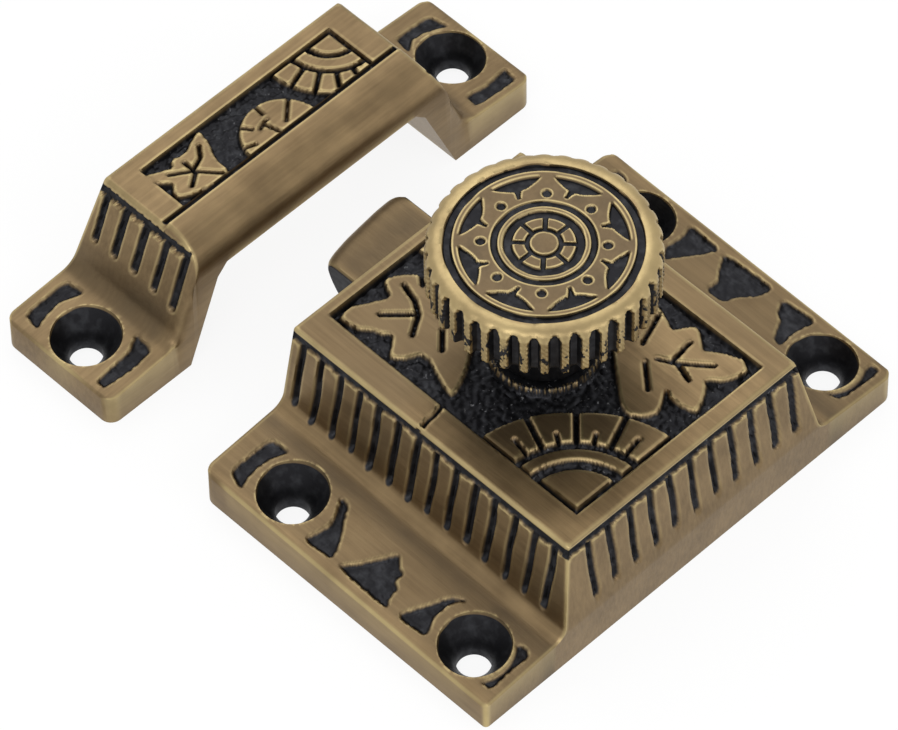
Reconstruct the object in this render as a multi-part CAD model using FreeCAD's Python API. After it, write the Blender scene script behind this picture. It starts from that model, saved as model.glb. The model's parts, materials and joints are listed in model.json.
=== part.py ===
import FreeCAD, Part
import math
import os

V = FreeCAD.Vector

# Cupboard catch latch, all sizes in millimetres.
# The frame: Z = 0 is the back face that lies on the door, +Z points at the user,
# +X is the way the bolt shoots, and the origin is the centre of the latch's four screw holes.

# Screw holes of the latch and the keeper
hole_dx = 26.6            # between latch holes along X
hole_from_case = 9.2      # from the case's frame out to the latch holes, along Y
keeper_hole_edge = 4.1    # from the keeper's ends in to its holes
hole_r = 1.85             # through hole for a wood screw
sink_r = 3.9              # mouth of the countersink
sink_half_angle = 45.0

# Latch plate and its flanges
knob_x = 2.3              # knob axis from the hole centre, along X
flange_len = 13.55        # how far each flange stands out beyond the case's frame
edge_t_bolt = 4.6         # flange edge at the bolt end
edge_t_rear = 3.6         # flange edge at the closed end
flange_slope = 0.089      # rise of the flange toward the case, per mm
corner_r = 1.5            # flange corners in plan
front_corner_r = 0.5      # sharper corner that the photo shows in front
cove_r = 1.8              # hollow between the flange and the case wall
cove_facets = 3

# Raised case between the flanges
case_top = 16.2
wall_lean = 0.20          # side walls, mm outward per mm down
rear_lean = 0.165         # closed end wall, the same
rear_top_inset = 1.8      # frame edge from the plate edge at the closed end
top_wall = 2.5            # metal left above the cavity
frame_side = 3.6          # frame strips round the carved panel
frame_far = 2.7
frame_rear = 2.3
frame_bolt = 1.5
panel_depth = 0.9
lip_groove_h = 0.7        # dark groove under the frame
lip_groove_d = 0.35
lip_drop = 0.9            # groove below the case top

# Flutes on the case walls
flute_count_side = 14
flute_pitch_side = 2.81
flute_count_rear = 11
flute_pitch_rear = 2.94
flute_w = 1.15
flute_d = 0.55
flute_len = 9.3

# Carving on the flanges
carve_d = 0.7
bar_gap = 1.3             # plain ring left round each countersink
bar_t = 1.6               # carved bar beside each countersink
bar_half = 3.1

# Cavity and back plate
upper_wall_side = 3.4     # from the frame edge to the upper cavity
upper_wall_rear = 2.6
front_wall = 2.8
plate_seat = 5.5          # height of the ledge that the back plate seats on
ledge = 1.8               # width of that ledge
back_t = 1.2
back_gap = 0.25
post = 3.4                # corner posts for the plate screws
screw_r = 0.85
screw_head_r = 1.75
screw_head_h = 1.1
screw_len = 6.0
tail_hole_r = 6.0         # hole in the back plate round the spindle end

# Bolt
bolt_w = 12.0
bolt_bottom = 5.8
bolt_top = 12.3
bolt_reach = 7.9          # nose beyond the plate edge
yoke_t = 3.0
yoke_rail = 1.8
yoke_gap = 0.3            # between the yoke and the side walls
back_bar = 4.0            # bar that the cam pushes, hollowed round the hub
front_bar = 2.1           # bar in front of the window
post_gap = 0.6            # between the yoke and the posts
rail_gap = 0.46           # between the cam's tip and the rails
hub_gap = 0.3
stop_gap = 0.15
slot_gap = 0.15           # round the bolt in the front wall

# Nose of the bolt in plan: share of its half width, and how far it falls short of the reach.
# The photo shows it filed askew, longest toward -Y.
nose_plan = [(1.0, 1.65), (0.72, 1.0), (0.36, 0.6), (0.0, 0.35), (-0.45, 0.07), (-0.8, 0.0), (-0.95, 0.25), (-1.0, 0.75)]
# Side view of the nose: back from the tip, and share of its height
nose_side = [(1.3, 1.0), (0.5, 0.97), (0.1, 0.9), (0.0, 0.82), (0.3, 0.68), (0.8, 0.53), (1.6, 0.36), (2.8, 0.17), (4.3, 0.0)]

# Knob and spindle
travel = 6.8              # bolt travel from shot to drawn back
base_r = 6.0              # base circle of the cam's involute flank
lead = 0.30               # roll angle of the flank at rest, in radians
cam_play = 0.08           # between the flank and the bolt
cam_t = 2.6
cam_lift = 0.3            # cam above the underside of the bolt
tail_short = 0.15         # square tail above the underside of the cam
hub_r = 3.6
square = 4.2              # square tail of the spindle
square_play = 0.05
journal_r = 3.5
journal_play = 0.05
boss_r = 6.2
boss_top = 16.4
neck_gap = 0.25
neck_waist_r = 4.9
neck_flare_r = 8.6
knob_r = 12.0
knob_top = 33.1
head_h = 6.2
head_edge = 0.9
spindle_top = 24.0
washer_r = 3.7
washer_t = 0.8
end_screw_r = 1.2
end_screw_head_r = 2.5
end_screw_head_h = 1.3
end_screw_len = 5.0

# Carving on the knob
knob_flutes = 36
knob_flute_w = 1.25
knob_flute_d = 0.75
knob_carve_d = 0.45
ring_out = 10.25
ring_in = 9.3
wheel_ring_out = 5.4
wheel_ring_in = 4.8
wheel_out = 4.15
wheel_in = 1.95
pane_out = 3.3            # outer edge of the raised panes
wheel_spokes = 8
wheel_hub_r = 1.5
spoke_w = 0.5
scallops = 8
scallop_out = 8.5
scallop_in = 7.3
spike_in = 6.1
dot_r = 0.45
dot_at = 6.45

# Spring
spring_r = 2.3            # centre line of the wire
wire_r = 0.35
spring_turns = 5.5
spring_pin_r = 1.5
spring_pin_len = 4.0
spring_pin_gap = 0.62     # left behind the pin when the bolt is drawn back

# Keeper
keeper_x = 43.7           # its centre line from the latch's hole centre
keeper_y = -0.4
keeper_w = 16.2
keeper_len = 62.4
foot_len = 9.6            # from the keeper's end to the foot of its leg
foot_t = 4.0
foot_rise = 0.08
bridge_top = 16.0
bridge_under = 12.4
leg_lean = 0.40           # outer face of a leg, mm outward per mm down
leg_t = 3.9               # thickness of a leg along Y
mouth_round = 1.4         # cut-off corners of the opening
keeper_cove = 2.2
keeper_back_lean = 0.10
bar_w = 5.9               # rounded bar on the latch side
bar_drop = 3.2
bar_proud = 0.4
bar_groove = 0.6
panel_end = 3.3           # from the bridge's end to its panel
panel_strip = 1.9
keeper_flutes = 5
keeper_flute_pitch = 3.0
keeper_flute_len = 7.0
keeper_corner_r = 1.4

driver_w = 0.5            # driver slots in the inner screws
driver_d = 0.5

# Worked out from the sizes above
big = 100.0
turn_play = 0.03
cam_reach = base_r * math.hypot(1, lead + travel / base_r + turn_play)
knob_turn = travel / base_r
cav_y = cam_reach + rail_gap + yoke_rail + yoke_gap
case_half = cav_y + upper_wall_side
half_wid = case_half + flange_len
hole_y = case_half + hole_from_case
x_win = knob_x + hub_r + travel + 2 * hub_gap
x_front = x_win + front_bar
cav_x1 = x_front + post_gap + post
plate_x1 = cav_x1 + front_wall
push_x = knob_x - base_r * lead - cam_play
x_back = push_x - back_bar
cav_x0 = x_back - travel - spring_pin_len - spring_pin_gap
case_x0 = cav_x0 - upper_wall_rear
plate_x0 = case_x0 - rear_top_inset
plate_len = plate_x1 - plate_x0
shoulder_half = cav_y - post - post_gap
under_top = case_top - panel_depth - top_wall
panel_floor = case_top - panel_depth
panel_x0 = case_x0 + frame_rear
panel_x1 = plate_x1 - frame_bolt
panel_y0 = -case_half + frame_far
panel_y1 = case_half - frame_side
panel_cx = (panel_x0 + panel_x1) / 2
panel_cy = (panel_y0 + panel_y1) / 2
back_z0 = plate_seat - back_t
cam_z0 = bolt_bottom + cam_lift
tail_end = cam_z0 + tail_short
neck_foot = boss_top + neck_gap
head_z0 = knob_top - head_h
keeper_half = keeper_len / 2
keeper_hole_y = keeper_half - keeper_hole_edge
leg_out_foot = keeper_half - foot_len
leg_foot_z = foot_t + foot_rise * foot_len
leg_out_top = leg_out_foot - leg_lean * (bridge_top - leg_foot_z)
panel_half = leg_out_top - panel_end


def box(x0, x1, y0, y1, z0, z1):
    return Part.makeBox(x1 - x0, y1 - y0, z1 - z0, V(x0, y0, z0))


def rod(x, y, z0, z1, r):
    return Part.makeCylinder(r, z1 - z0, V(x, y, z0))


def prism(points, z0, z1):
    wire = Part.makePolygon([V(x, y, z0) for x, y in points] + [V(*points[0], z0)])
    return Part.Face(wire).extrude(V(0, 0, z1 - z0))


def stack(rings):
    # solid with flat sides between outlines that match point for point
    rings = [[V(*p) for p in ring] for ring in rings]
    n = len(rings[0])
    loops = [rings[0], rings[-1]]
    for a, b in zip(rings, rings[1:]):
        loops += [[a[i], a[(i + 1) % n], b[(i + 1) % n], b[i]] for i in range(n)]
    shell = Part.makeShell([Part.Face(Part.makePolygon(loop + [loop[0]])) for loop in loops])
    solid = Part.makeSolid(shell)
    if solid.Volume < 0:
        solid.reverse()
    return solid


def bridge(first, second):
    return stack([first, second])


def wheel_ring(x, z, r, sides):
    # corners of a many-sided ring whose flats touch radius r
    r = r / math.cos(math.pi / sides)
    return [(x + r * math.cos(2 * math.pi * i / sides), r * math.sin(2 * math.pi * i / sides), z) for i in range(sides)]


def rect(x0, x1, y0, y1, z):
    return [(x0, y0, z), (x1, y0, z), (x1, y1, z), (x0, y1, z)]


def mirror_x(points):
    return [(-x, y) for x, y in points]


def on_flange(points, side):
    return [(x, side * (half_wid + y)) for x, y in points]


def on_panel(points):
    return [(panel_x1 + x, panel_y1 + y) for x, y in points]


def edge_t(x):
    share = (x - plate_x0) / plate_len
    return edge_t_rear + (edge_t_bolt - edge_t_rear) * share


def flange_z(x, y):
    return edge_t(x) + flange_slope * (half_wid - abs(y))


def wall_y(z):
    return case_half + wall_lean * (case_top - z)


def rear_x(z):
    return case_x0 - rear_lean * (case_top - z)


def screw_hole(x, y, z_mouth):
    # through hole with a cone that opens to sink_r at the mouth, and on above it
    rise = 3.0
    run = math.tan(math.radians(sink_half_angle))
    depth = (sink_r - hole_r) / run
    cone = Part.makeCone(hole_r, sink_r + rise * run, depth + rise, V(x, y, z_mouth - depth))
    return rod(x, y, -1, z_mouth, hole_r).fuse(cone)


def channel(foot, head, out, across, width, depth, proud):
    # a groove from foot to head with a square head; its floor runs out at the foot
    axis = head - foot
    length = axis.Length
    axis.normalize()
    start = foot - across * (width / 2)
    end = start + axis * length
    pts = [start, start + axis * (width * 1.1) - out * depth, end - out * depth, end + out * proud, start + out * proud]
    return Part.Face(Part.makePolygon(pts + [pts[0]])).extrude(across * width)


def end_bar(cx, cy, side):
    # flat bar beside a countersink, hollowed round it; side is +1 toward +X
    near = sink_r + bar_gap
    ends = sorted((cx + side * near * 0.5, cx + side * (near + bar_t)))
    bar = box(ends[0], ends[1], cy - bar_half, cy + bar_half, 0, big)
    return bar.cut(rod(cx, cy, -1, big + 1, near))


# Carved outlines on a flange: x from the hole centre, y from the flange's outer edge.
# They are for the flange at +Y; the other half and the other flange mirror them.
side_leaf_gap = [(4.7, -1.8), (5.6, -3.8), (6.7, -5.3), (8.0, -7.6), (9.3, -7.9),
                 (8.2, -6.0), (7.8, -4.5), (8.0, -3.0), (8.8, -1.6)]
mid_leaf_gap = [(3.6, -1.5), (2.7, -3.2), (2.1, -3.6), (1.9, -5.2), (0.9, -5.9), (0.0, -7.1),
                (-0.9, -5.9), (-1.9, -5.2), (-2.1, -3.6), (-2.7, -3.2), (-3.6, -1.5)]

# A leaf of the top panel, from the panel's corner at +X +Y
panel_leaf = [(-0.7, -0.7), (-0.6, -2.7), (-1.6, -4.4), (-2.7, -6.5), (-1.7, -6.8), (-0.6, -7.3),
              (-0.8, -8.3), (-2.6, -10.5), (-8.1, -11.8), (-11.3, -9.8), (-13.5, -7.4), (-14.7, -5.0),
              (-16.1, -1.6), (-13.9, -2.4), (-11.3, -3.4), (-10.1, -3.5), (-9.4, -1.8), (-8.1, -0.8),
              (-6.8, -2.6), (-6.2, -3.2), (-5.7, -2.4), (-4.1, -1.9), (-3.5, -1.2), (-1.6, -0.7)]
leaf_veins = [((-3.5, -4.0), (-8.3, -8.6)), ((-2.5, -8.0), (-6.1, -6.6)), ((-7.8, -4.4), (-6.1, -6.6)),
              ((-12.7, -3.7), (-10.3, -7.6))]

# Corner fan of the top panel, radii from the panel corner at -X +Y
fan_r = [(0.0, 5.6), (6.9, 8.2), (8.9, 13.2)]
fan_slots = 4
leaf_low = 0.15           # leaves lie this much below the frame
vein_w = 0.8


def vein(a, b, width, z0, z1):
    ax, ay = a
    bx, by = b
    run = math.hypot(bx - ax, by - ay)
    nx = -(by - ay) / run * width / 2
    ny = (bx - ax) / run * width / 2
    return prism([(ax + nx, ay + ny), (bx + nx, by + ny), (bx - nx, by - ny), (ax - nx, ay - ny)], z0, z1)


def turn_half(shape):
    return shape.rotated(V(panel_cx, panel_cy, 0), V(0, 0, 1), 180)


def fan_blocks(cx, cy, z0, z1):
    # quarter rings round the corner (cx, cy), opening toward +X -Y
    gap = 0.5
    window = box(cx + gap, cx + 30, cy - 30, cy - gap, z0 - 1, z1 + 1)
    out = []
    for r_in, r_out in fan_r:
        ring = rod(cx, cy, z0, z1, r_out)
        if r_in > 0:
            ring = ring.cut(rod(cx, cy, z0 - 1, z1 + 1, r_in))
        out.append(ring.common(window))
    petals = out.pop()
    last_in, last_out = fan_r[-1]
    for i in range(1, fan_slots):
        a = -math.pi / 2 * i / fan_slots
        c, s = math.cos(a), math.sin(a)
        petals = petals.cut(vein((cx + c * last_in * 0.9, cy + s * last_in * 0.9),
                                 (cx + c * last_out * 1.1, cy + s * last_out * 1.1), 0.6, z0 - 1, z1 + 1))
    for i in range(fan_slots):
        a = -math.pi / 2 * (i + 0.5) / fan_slots
        c, s = math.cos(a), math.sin(a)
        petals = petals.cut(vein((cx + c * last_in * 0.9, cy + s * last_in * 0.9),
                                 (cx + c * (last_in + 1.6), cy + s * (last_in + 1.6)), 0.5, z0 - 1, z1 + 1))
    out.extend(petals.Solids)
    return out


def panel_ornament():
    z0, z1 = panel_floor - 0.2, case_top - leaf_low
    leaf = prism(on_panel(panel_leaf), z0, z1)
    veins = [on_panel(ends) for ends in leaf_veins]
    leaf = leaf.cut(Part.makeCompound([vein(a, b, vein_w, z0 - 1, z1 + 1) for a, b in veins]))
    clear = rod(knob_x, 0, 0, big, boss_r + 0.7)
    pieces = [leaf.cut(clear)]
    pieces += fan_blocks(panel_x0, panel_y1, z0, z1)
    pieces += [turn_half(p) for p in pieces]
    room = box(panel_x0 + 0.4, panel_x1 - 0.4, panel_y0 + 0.4, panel_y1 - 0.4, z0 - 1, z1 + 1)
    return [p.common(room) for p in pieces]


def case_section(x):
    # outline across Y at one end: flange, hollow cove in flat facets, leaning wall, top
    def side(s):
        slope = flange_slope
        level = edge_t(x) + slope * half_wid
        y = (case_half + wall_lean * (case_top - level)) / (1 - wall_lean * slope)
        corner = V(x, y, level - slope * y)
        pts = cove_points(corner, V(0, 1, -slope), V(0, -wall_lean, 1), cove_r, cove_facets)
        pts = [V(x, half_wid, 0), V(x, half_wid, flange_z(x, half_wid))] + pts + [V(x, case_half, case_top)]
        return [V(p.x, s * p.y, p.z) for p in pts]

    a = side(1)
    b = side(-1)
    b.reverse()
    return a + b


def cove_points(corner, to_a, to_b, r, steps):
    # points of a hollow round of radius r between two lines that leave a corner
    to_a.normalize()
    to_b.normalize()
    half = to_a.getAngle(to_b) / 2
    run = r / math.tan(half)
    bisector = to_a + to_b
    bisector.normalize()
    centre = corner + bisector * (r / math.sin(half))
    first = corner + to_a * run - centre
    last = corner + to_b * run - centre
    swing = first.getAngle(last)
    out = []
    for i in range(steps + 1):
        share = i / steps
        a = math.sin((1 - share) * swing) / math.sin(swing)
        b = math.sin(share * swing) / math.sin(swing)
        out.append(centre + first * a + last * b)
    return out


def corner_waste(x, y, sx, sy, r):
    # what a vertical round takes off a corner; sx and sy point into the metal
    block = box(min(x - sx, x + sx * r), max(x - sx, x + sx * r), min(y - sy, y + sy * r), max(y - sy, y + sy * r),
                -1, 20)
    return block.cut(rod(x + sx * r, y + sy * r, -2, 21, r))


def latch_case():
    x0, x1 = plate_x0, plate_x1
    body = bridge(case_section(x0), case_section(x1))
    far = 40
    lean = [(rear_x(z), z) for z in (0, far)]
    ends = []
    for y in (-big, big):
        ends.append([(-big, y, 0), (lean[0][0], y, 0), (lean[1][0], y, far), (-big, y, far)])
    cut = [bridge(*ends)]
    for x, sx in ((x0, 1), (x1, -1)):
        for s in (1, -1):
            r = front_corner_r if sx > 0 and s > 0 else corner_r
            cut.append(corner_waste(x, s * half_wid, sx, -s, r))
    body = body.cut(Part.makeCompound(cut))

    cut = []
    # cavity, its ledge and the slot for the bolt
    upper = box(cav_x0, cav_x1, -cav_y, cav_y, -1, under_top)
    for px in (cav_x0, cav_x1 - post):
        for py in (-cav_y, cav_y - post):
            upper = upper.cut(box(px, px + post, py, py + post, plate_seat, under_top))
    lower = box(cav_x0 - ledge, cav_x1 + ledge * 0.6, -cav_y - ledge, cav_y + ledge, -1, plate_seat)
    cut += [upper, lower]
    cut.append(box(cav_x1 - 1, x1 + 1, -bolt_w / 2 - slot_gap, bolt_w / 2 + slot_gap,
                   bolt_bottom - slot_gap, bolt_top + slot_gap))
    for px, py in post_centres():
        cut.append(rod(px, py, plate_seat - 1, plate_seat + screw_len, screw_r))
    # panel recess, then grooves under the frame
    cut.append(box(panel_x0, panel_x1, panel_y0, panel_y1, panel_floor, big))
    gz = case_top - lip_drop
    for s in (1, -1):
        y = wall_y(gz)
        cut.append(box(case_x0 - 1, x1 + 1, min(s * (y - lip_groove_d), s * (y + 2)),
                       max(s * (y - lip_groove_d), s * (y + 2)), gz - lip_groove_h, gz))
    cut.append(box(rear_x(gz) - 2, rear_x(gz) + lip_groove_d, -case_half - 2, case_half + 2, gz - lip_groove_h, gz))
    # flutes
    head_z = gz - lip_groove_h + 0.1
    foot_z = head_z - flute_len
    for s in (1, -1):
        out = V(0, s, wall_lean)
        out.normalize()
        for i in range(flute_count_side):
            x = knob_x + (i - (flute_count_side - 1) / 2) * flute_pitch_side
            cut.append(channel(V(x, s * wall_y(foot_z), foot_z), V(x, s * wall_y(head_z), head_z),
                           out, V(1, 0, 0), flute_w, flute_d, 0.5))
    out = V(-1, 0, rear_lean)
    out.normalize()
    for i in range(flute_count_rear):
        y = (i - (flute_count_rear - 1) / 2) * flute_pitch_rear
        cut.append(channel(V(rear_x(foot_z), y, foot_z), V(rear_x(head_z), y, head_z),
                       out, V(0, 1, 0), flute_w, flute_d, 0.5))
    body = body.cut(Part.makeCompound(cut))

    # carving on the flanges: cutters follow the sloping top
    tools = []
    for s in (1, -1):
        for outline in (side_leaf_gap, mirror_x(side_leaf_gap), mid_leaf_gap):
            tools.append(prism(on_flange(outline, s), 0, big))
        for sx in (1, -1):
            tools.append(end_bar(sx * hole_dx / 2, s * hole_y, sx))
        inner = case_half
        ends = []
        for x in (x0, x1):
            ends.append([(x, s * inner, big), (x, s * (half_wid + 1), big),
                         (x, s * (half_wid + 1), flange_z(x, half_wid + 1) - carve_d),
                         (x, s * inner, flange_z(x, inner) - carve_d)])
        above = bridge(*ends)
        body = body.cut(Part.makeCompound([t.common(above) for t in tools]))
        tools = []

    # boss round the spindle, leaves and fans on the panel floor
    body = body.fuse([rod(knob_x, 0, under_top + 0.5, boss_top, boss_r)] + panel_ornament())
    holes = [rod(knob_x, 0, 0, big, journal_r + journal_play)]
    for sx in (1, -1):
        for s in (1, -1):
            x, y = sx * hole_dx / 2, s * hole_y
            holes.append(screw_hole(x, y, flange_z(x, y)))
    return body.cut(Part.makeCompound(holes)).removeSplitter()


def post_centres():
    inset = post / 2
    return [(px, py) for px in (cav_x0 + inset, cav_x1 - inset) for py in (-cav_y + inset, cav_y - inset)]


def back_plate():
    x0 = cav_x0 - ledge + back_gap
    x1 = cav_x1 + ledge * 0.6 - back_gap
    y1 = cav_y + ledge - back_gap
    plate = box(x0, x1, -y1, y1, back_z0, plate_seat)
    holes = [rod(knob_x, 0, 0, big, tail_hole_r)]
    holes += [rod(px, py, 0, big, screw_r + 0.15) for px, py in post_centres()]
    return plate.cut(Part.makeCompound(holes))


def plate_screws():
    out = []
    for px, py in post_centres():
        shank = rod(px, py, back_z0 - 0.2, plate_seat + screw_len - 0.6, screw_r - 0.05)
        head = rod(px, py, back_z0 - screw_head_h, back_z0, screw_head_r)
        driver = box(px - screw_head_r - 1, px + screw_head_r + 1, py - driver_w / 2, py + driver_w / 2,
                     back_z0 - screw_head_h - 1, back_z0 - screw_head_h + driver_d)
        out.append(head.fuse(shank).cut(driver))
    return Part.makeCompound(out)


def bolt():
    y = cav_y - yoke_gap
    top = bolt_bottom + yoke_t
    x_stop = cav_x1 - stop_gap
    yoke = box(x_back, x_front, -y, y, bolt_bottom, top)
    yoke = yoke.cut(box(push_x, x_win, -y + yoke_rail, y - yoke_rail, 0, big))
    yoke = yoke.fuse(box(x_win, x_stop, -shoulder_half, shoulder_half, bolt_bottom, top))
    # the nose block, rounded above and bevelled underneath
    rings = []
    for share, short in nose_plan:
        tip = plate_x1 + bolt_reach - short
        w = share * bolt_w / 2
        ring = [(x_win, w, bolt_bottom), (x_win, w, bolt_top)]
        ring += [(tip - back, w, bolt_bottom + high * (bolt_top - bolt_bottom)) for back, high in nose_side]
        rings.append(ring)
    nose = stack(rings)
    pin = Part.makeCylinder(spring_pin_r, spring_pin_len, V(x_back, 0, spring_z()), V(-1, 0, 0))
    pad = box(x_back, push_x, -spring_r - 0.8, spring_r + 0.8, bolt_bottom, spring_z() + spring_r + 0.6)
    body = yoke.fuse([nose, pin, pad])
    return body.cut(rod(knob_x, 0, 0, big, hub_r + hub_gap)).removeSplitter()


def spring_z():
    return bolt_bottom + spring_r + wire_r + 0.1


def involute(turn):
    # point of the flank that touches the bolt once the cam has turned by this angle
    roll = lead + turn
    c, s = math.cos(turn), math.sin(turn)
    return (base_r * s - base_r * roll * c, -base_r * c - base_r * roll * s)


def cam():
    steps = 12
    flank = [involute(-0.08 + (knob_turn + 0.11) * i / steps) for i in range(steps + 1)]
    poles = [V(knob_x + x, y, cam_z0) for x, y in flank]
    curve = Part.BSplineCurve()
    curve.interpolate(poles)
    a, b = poles[0], poles[-1]
    back_tip = V(b.x + 1.6, b.y + 0.5, cam_z0)
    back_root = V(knob_x + hub_r * 0.98, -0.4, cam_z0)
    heart = V(knob_x, 0, cam_z0)
    root = V(knob_x - hub_r * 0.4, -hub_r * 0.85, cam_z0)
    wire = Part.Wire([curve.toShape(), Part.makeLine(b, back_tip), Part.makeLine(back_tip, back_root),
                      Part.makeLine(back_root, heart), Part.makeLine(heart, root), Part.makeLine(root, a)])
    arm = Part.Face(wire).extrude(V(0, 0, cam_t))
    hub = rod(knob_x, 0, cam_z0, under_top - 0.2, hub_r)
    half = square / 2 + square_play
    hole = box(knob_x - half, knob_x + half, -half, half, 0, big)
    return arm.fuse(hub).cut(hole).removeSplitter()


def spindle():
    half = square / 2
    tail = box(knob_x - half, knob_x + half, -half, half, tail_end, under_top)
    journal = rod(knob_x, 0, under_top - 0.15, spindle_top, journal_r)
    tapped = rod(knob_x, 0, 0, tail_end + end_screw_len + 0.4, end_screw_r + 0.05)
    return tail.fuse(journal).cut(tapped)


def cam_washer():
    ring = rod(knob_x, 0, cam_z0 - washer_t, cam_z0, washer_r)
    return ring.cut(rod(knob_x, 0, 0, big, end_screw_r + 0.2))


def spindle_screw():
    z1 = cam_z0 - washer_t
    z0 = z1 - end_screw_head_h
    head = rod(knob_x, 0, z0, z1, end_screw_head_r)
    shank = rod(knob_x, 0, z1 - 0.2, tail_end + end_screw_len, end_screw_r)
    driver = box(knob_x - end_screw_head_r - 1, knob_x + end_screw_head_r + 1, -driver_w / 2, driver_w / 2,
                 z0 - 1, z0 + driver_d)
    return head.fuse(shank).cut(driver)


def knob():
    edge = knob_top - head_edge
    under = head_z0
    bore = journal_r
    mid = neck_foot + 0.6 * (under - neck_foot)
    # neck that flares to the underside of the head
    outline = [(0, neck_foot), (neck_waist_r, neck_foot), (neck_waist_r, mid), (neck_flare_r, under), (0, under)]
    wire = Part.makePolygon([V(knob_x + r, 0, z) for r, z in outline + [outline[0]]])
    neck = Part.Face(wire).revolve(V(knob_x, 0, 0), V(0, 0, 1), 360)
    # head with one flat land between each pair of flutes
    head = stack([wheel_ring(knob_x, z, r, knob_flutes)
                  for z, r in ((under, knob_r), (edge, knob_r), (knob_top, knob_r - head_edge))])
    body = neck.fuse(head)

    def ring(r_in, r_out):
        rings = [[wheel_ring(knob_x, z, r, knob_flutes) for z in (knob_top - knob_carve_d, knob_top + 1)]
                 for r in (r_in, r_out)]
        return bridge(*rings[1]).cut(bridge(*rings[0]))

    cut = [ring(ring_in, ring_out), ring(wheel_ring_in, wheel_ring_out)]
    wheel = ring(wheel_in, wheel_out).fuse(ring(wheel_hub_r, wheel_in))
    panes = ring(wheel_in, pane_out)
    bars = []
    for i in range(wheel_spokes):
        a = 2 * math.pi * i / wheel_spokes
        c, s = math.cos(a), math.sin(a)
        bars.append(vein((knob_x, 0), (knob_x + c * wheel_out, s * wheel_out), spoke_w, knob_top - 1, knob_top + 2))
    # raised panes between dark spokes
    panes = panes.cut(Part.makeCompound(bars))
    cut.append(wheel.cut(panes))
    for i in range(scallops):
        a = 2 * math.pi * (i + 0.5) / scallops
        spread = math.pi / scallops * 0.86

        def at(r, da):
            return (knob_x + r * math.cos(a + da), r * math.sin(a + da))

        outline = [at(scallop_out, -spread), at(scallop_out, -spread / 2), at(scallop_out, 0),
                   at(scallop_out, spread / 2), at(scallop_out, spread), at(scallop_in + 0.2, spread * 0.5),
                   at(scallop_in, spread * 0.2), at(spike_in, 0), at(scallop_in, -spread * 0.2),
                   at(scallop_in + 0.2, -spread * 0.5)]
        cut.append(prism(outline, knob_top - knob_carve_d, big))
        b = a + math.pi / scallops
        dot = [(knob_x + dot_at * math.cos(b) + dot_r * math.cos(k * math.pi / 4),
                dot_at * math.sin(b) + dot_r * math.sin(k * math.pi / 4)) for k in range(8)]
        cut.append(prism(dot, knob_top - knob_carve_d, big))
    for i in range(knob_flutes):
        a = 2 * math.pi * i / knob_flutes
        out = V(math.cos(a), math.sin(a), 0)
        across = V(-math.sin(a), math.cos(a), 0)
        head = V(knob_x + knob_r * out.x, knob_r * out.y, under - 0.5)
        foot = V(knob_x + knob_r * out.x, knob_r * out.y, edge - 0.15)
        cut.append(channel(foot, head, out, across, knob_flute_w, knob_flute_d, 0.6))
    body = body.cut(Part.makeCompound(cut))
    return body.cut(rod(knob_x, 0, 0, spindle_top, bore))


def bolt_spring():
    # a coil of flat facets: five-sided wire, ten stations a turn
    x0 = cav_x0 + 0.02 + wire_r
    x1 = push_x - back_bar - 0.02 - wire_r
    per_turn = 10
    sides = 5
    count = int(spring_turns * per_turn)
    zc = spring_z()
    rings = []
    for i in range(count + 1):
        a = 2 * math.pi * i / per_turn
        x = x0 + (x1 - x0) * i / count
        ring = []
        for k in range(sides):
            b = 2 * math.pi * k / sides
            r = spring_r + wire_r * math.cos(b)
            ring.append(V(x + wire_r * math.sin(b), r * math.cos(a), zc + r * math.sin(a)))
        rings.append(ring)
    faces = []

    def tri(p, q, r):
        faces.append(Part.Face(Part.makePolygon([p, q, r, p])))

    for i in range(count):
        for k in range(sides):
            n = (k + 1) % sides
            tri(rings[i][k], rings[i + 1][k], rings[i + 1][n])
            tri(rings[i][k], rings[i + 1][n], rings[i][n])
    for ring in (rings[0], rings[-1]):
        for k in range(1, sides - 1):
            tri(ring[0], ring[k], ring[k + 1])
    shell = Part.makeShell(faces)
    solid = Part.makeSolid(shell)
    if solid.Volume < 0:
        solid.reverse()
    return solid


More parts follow.
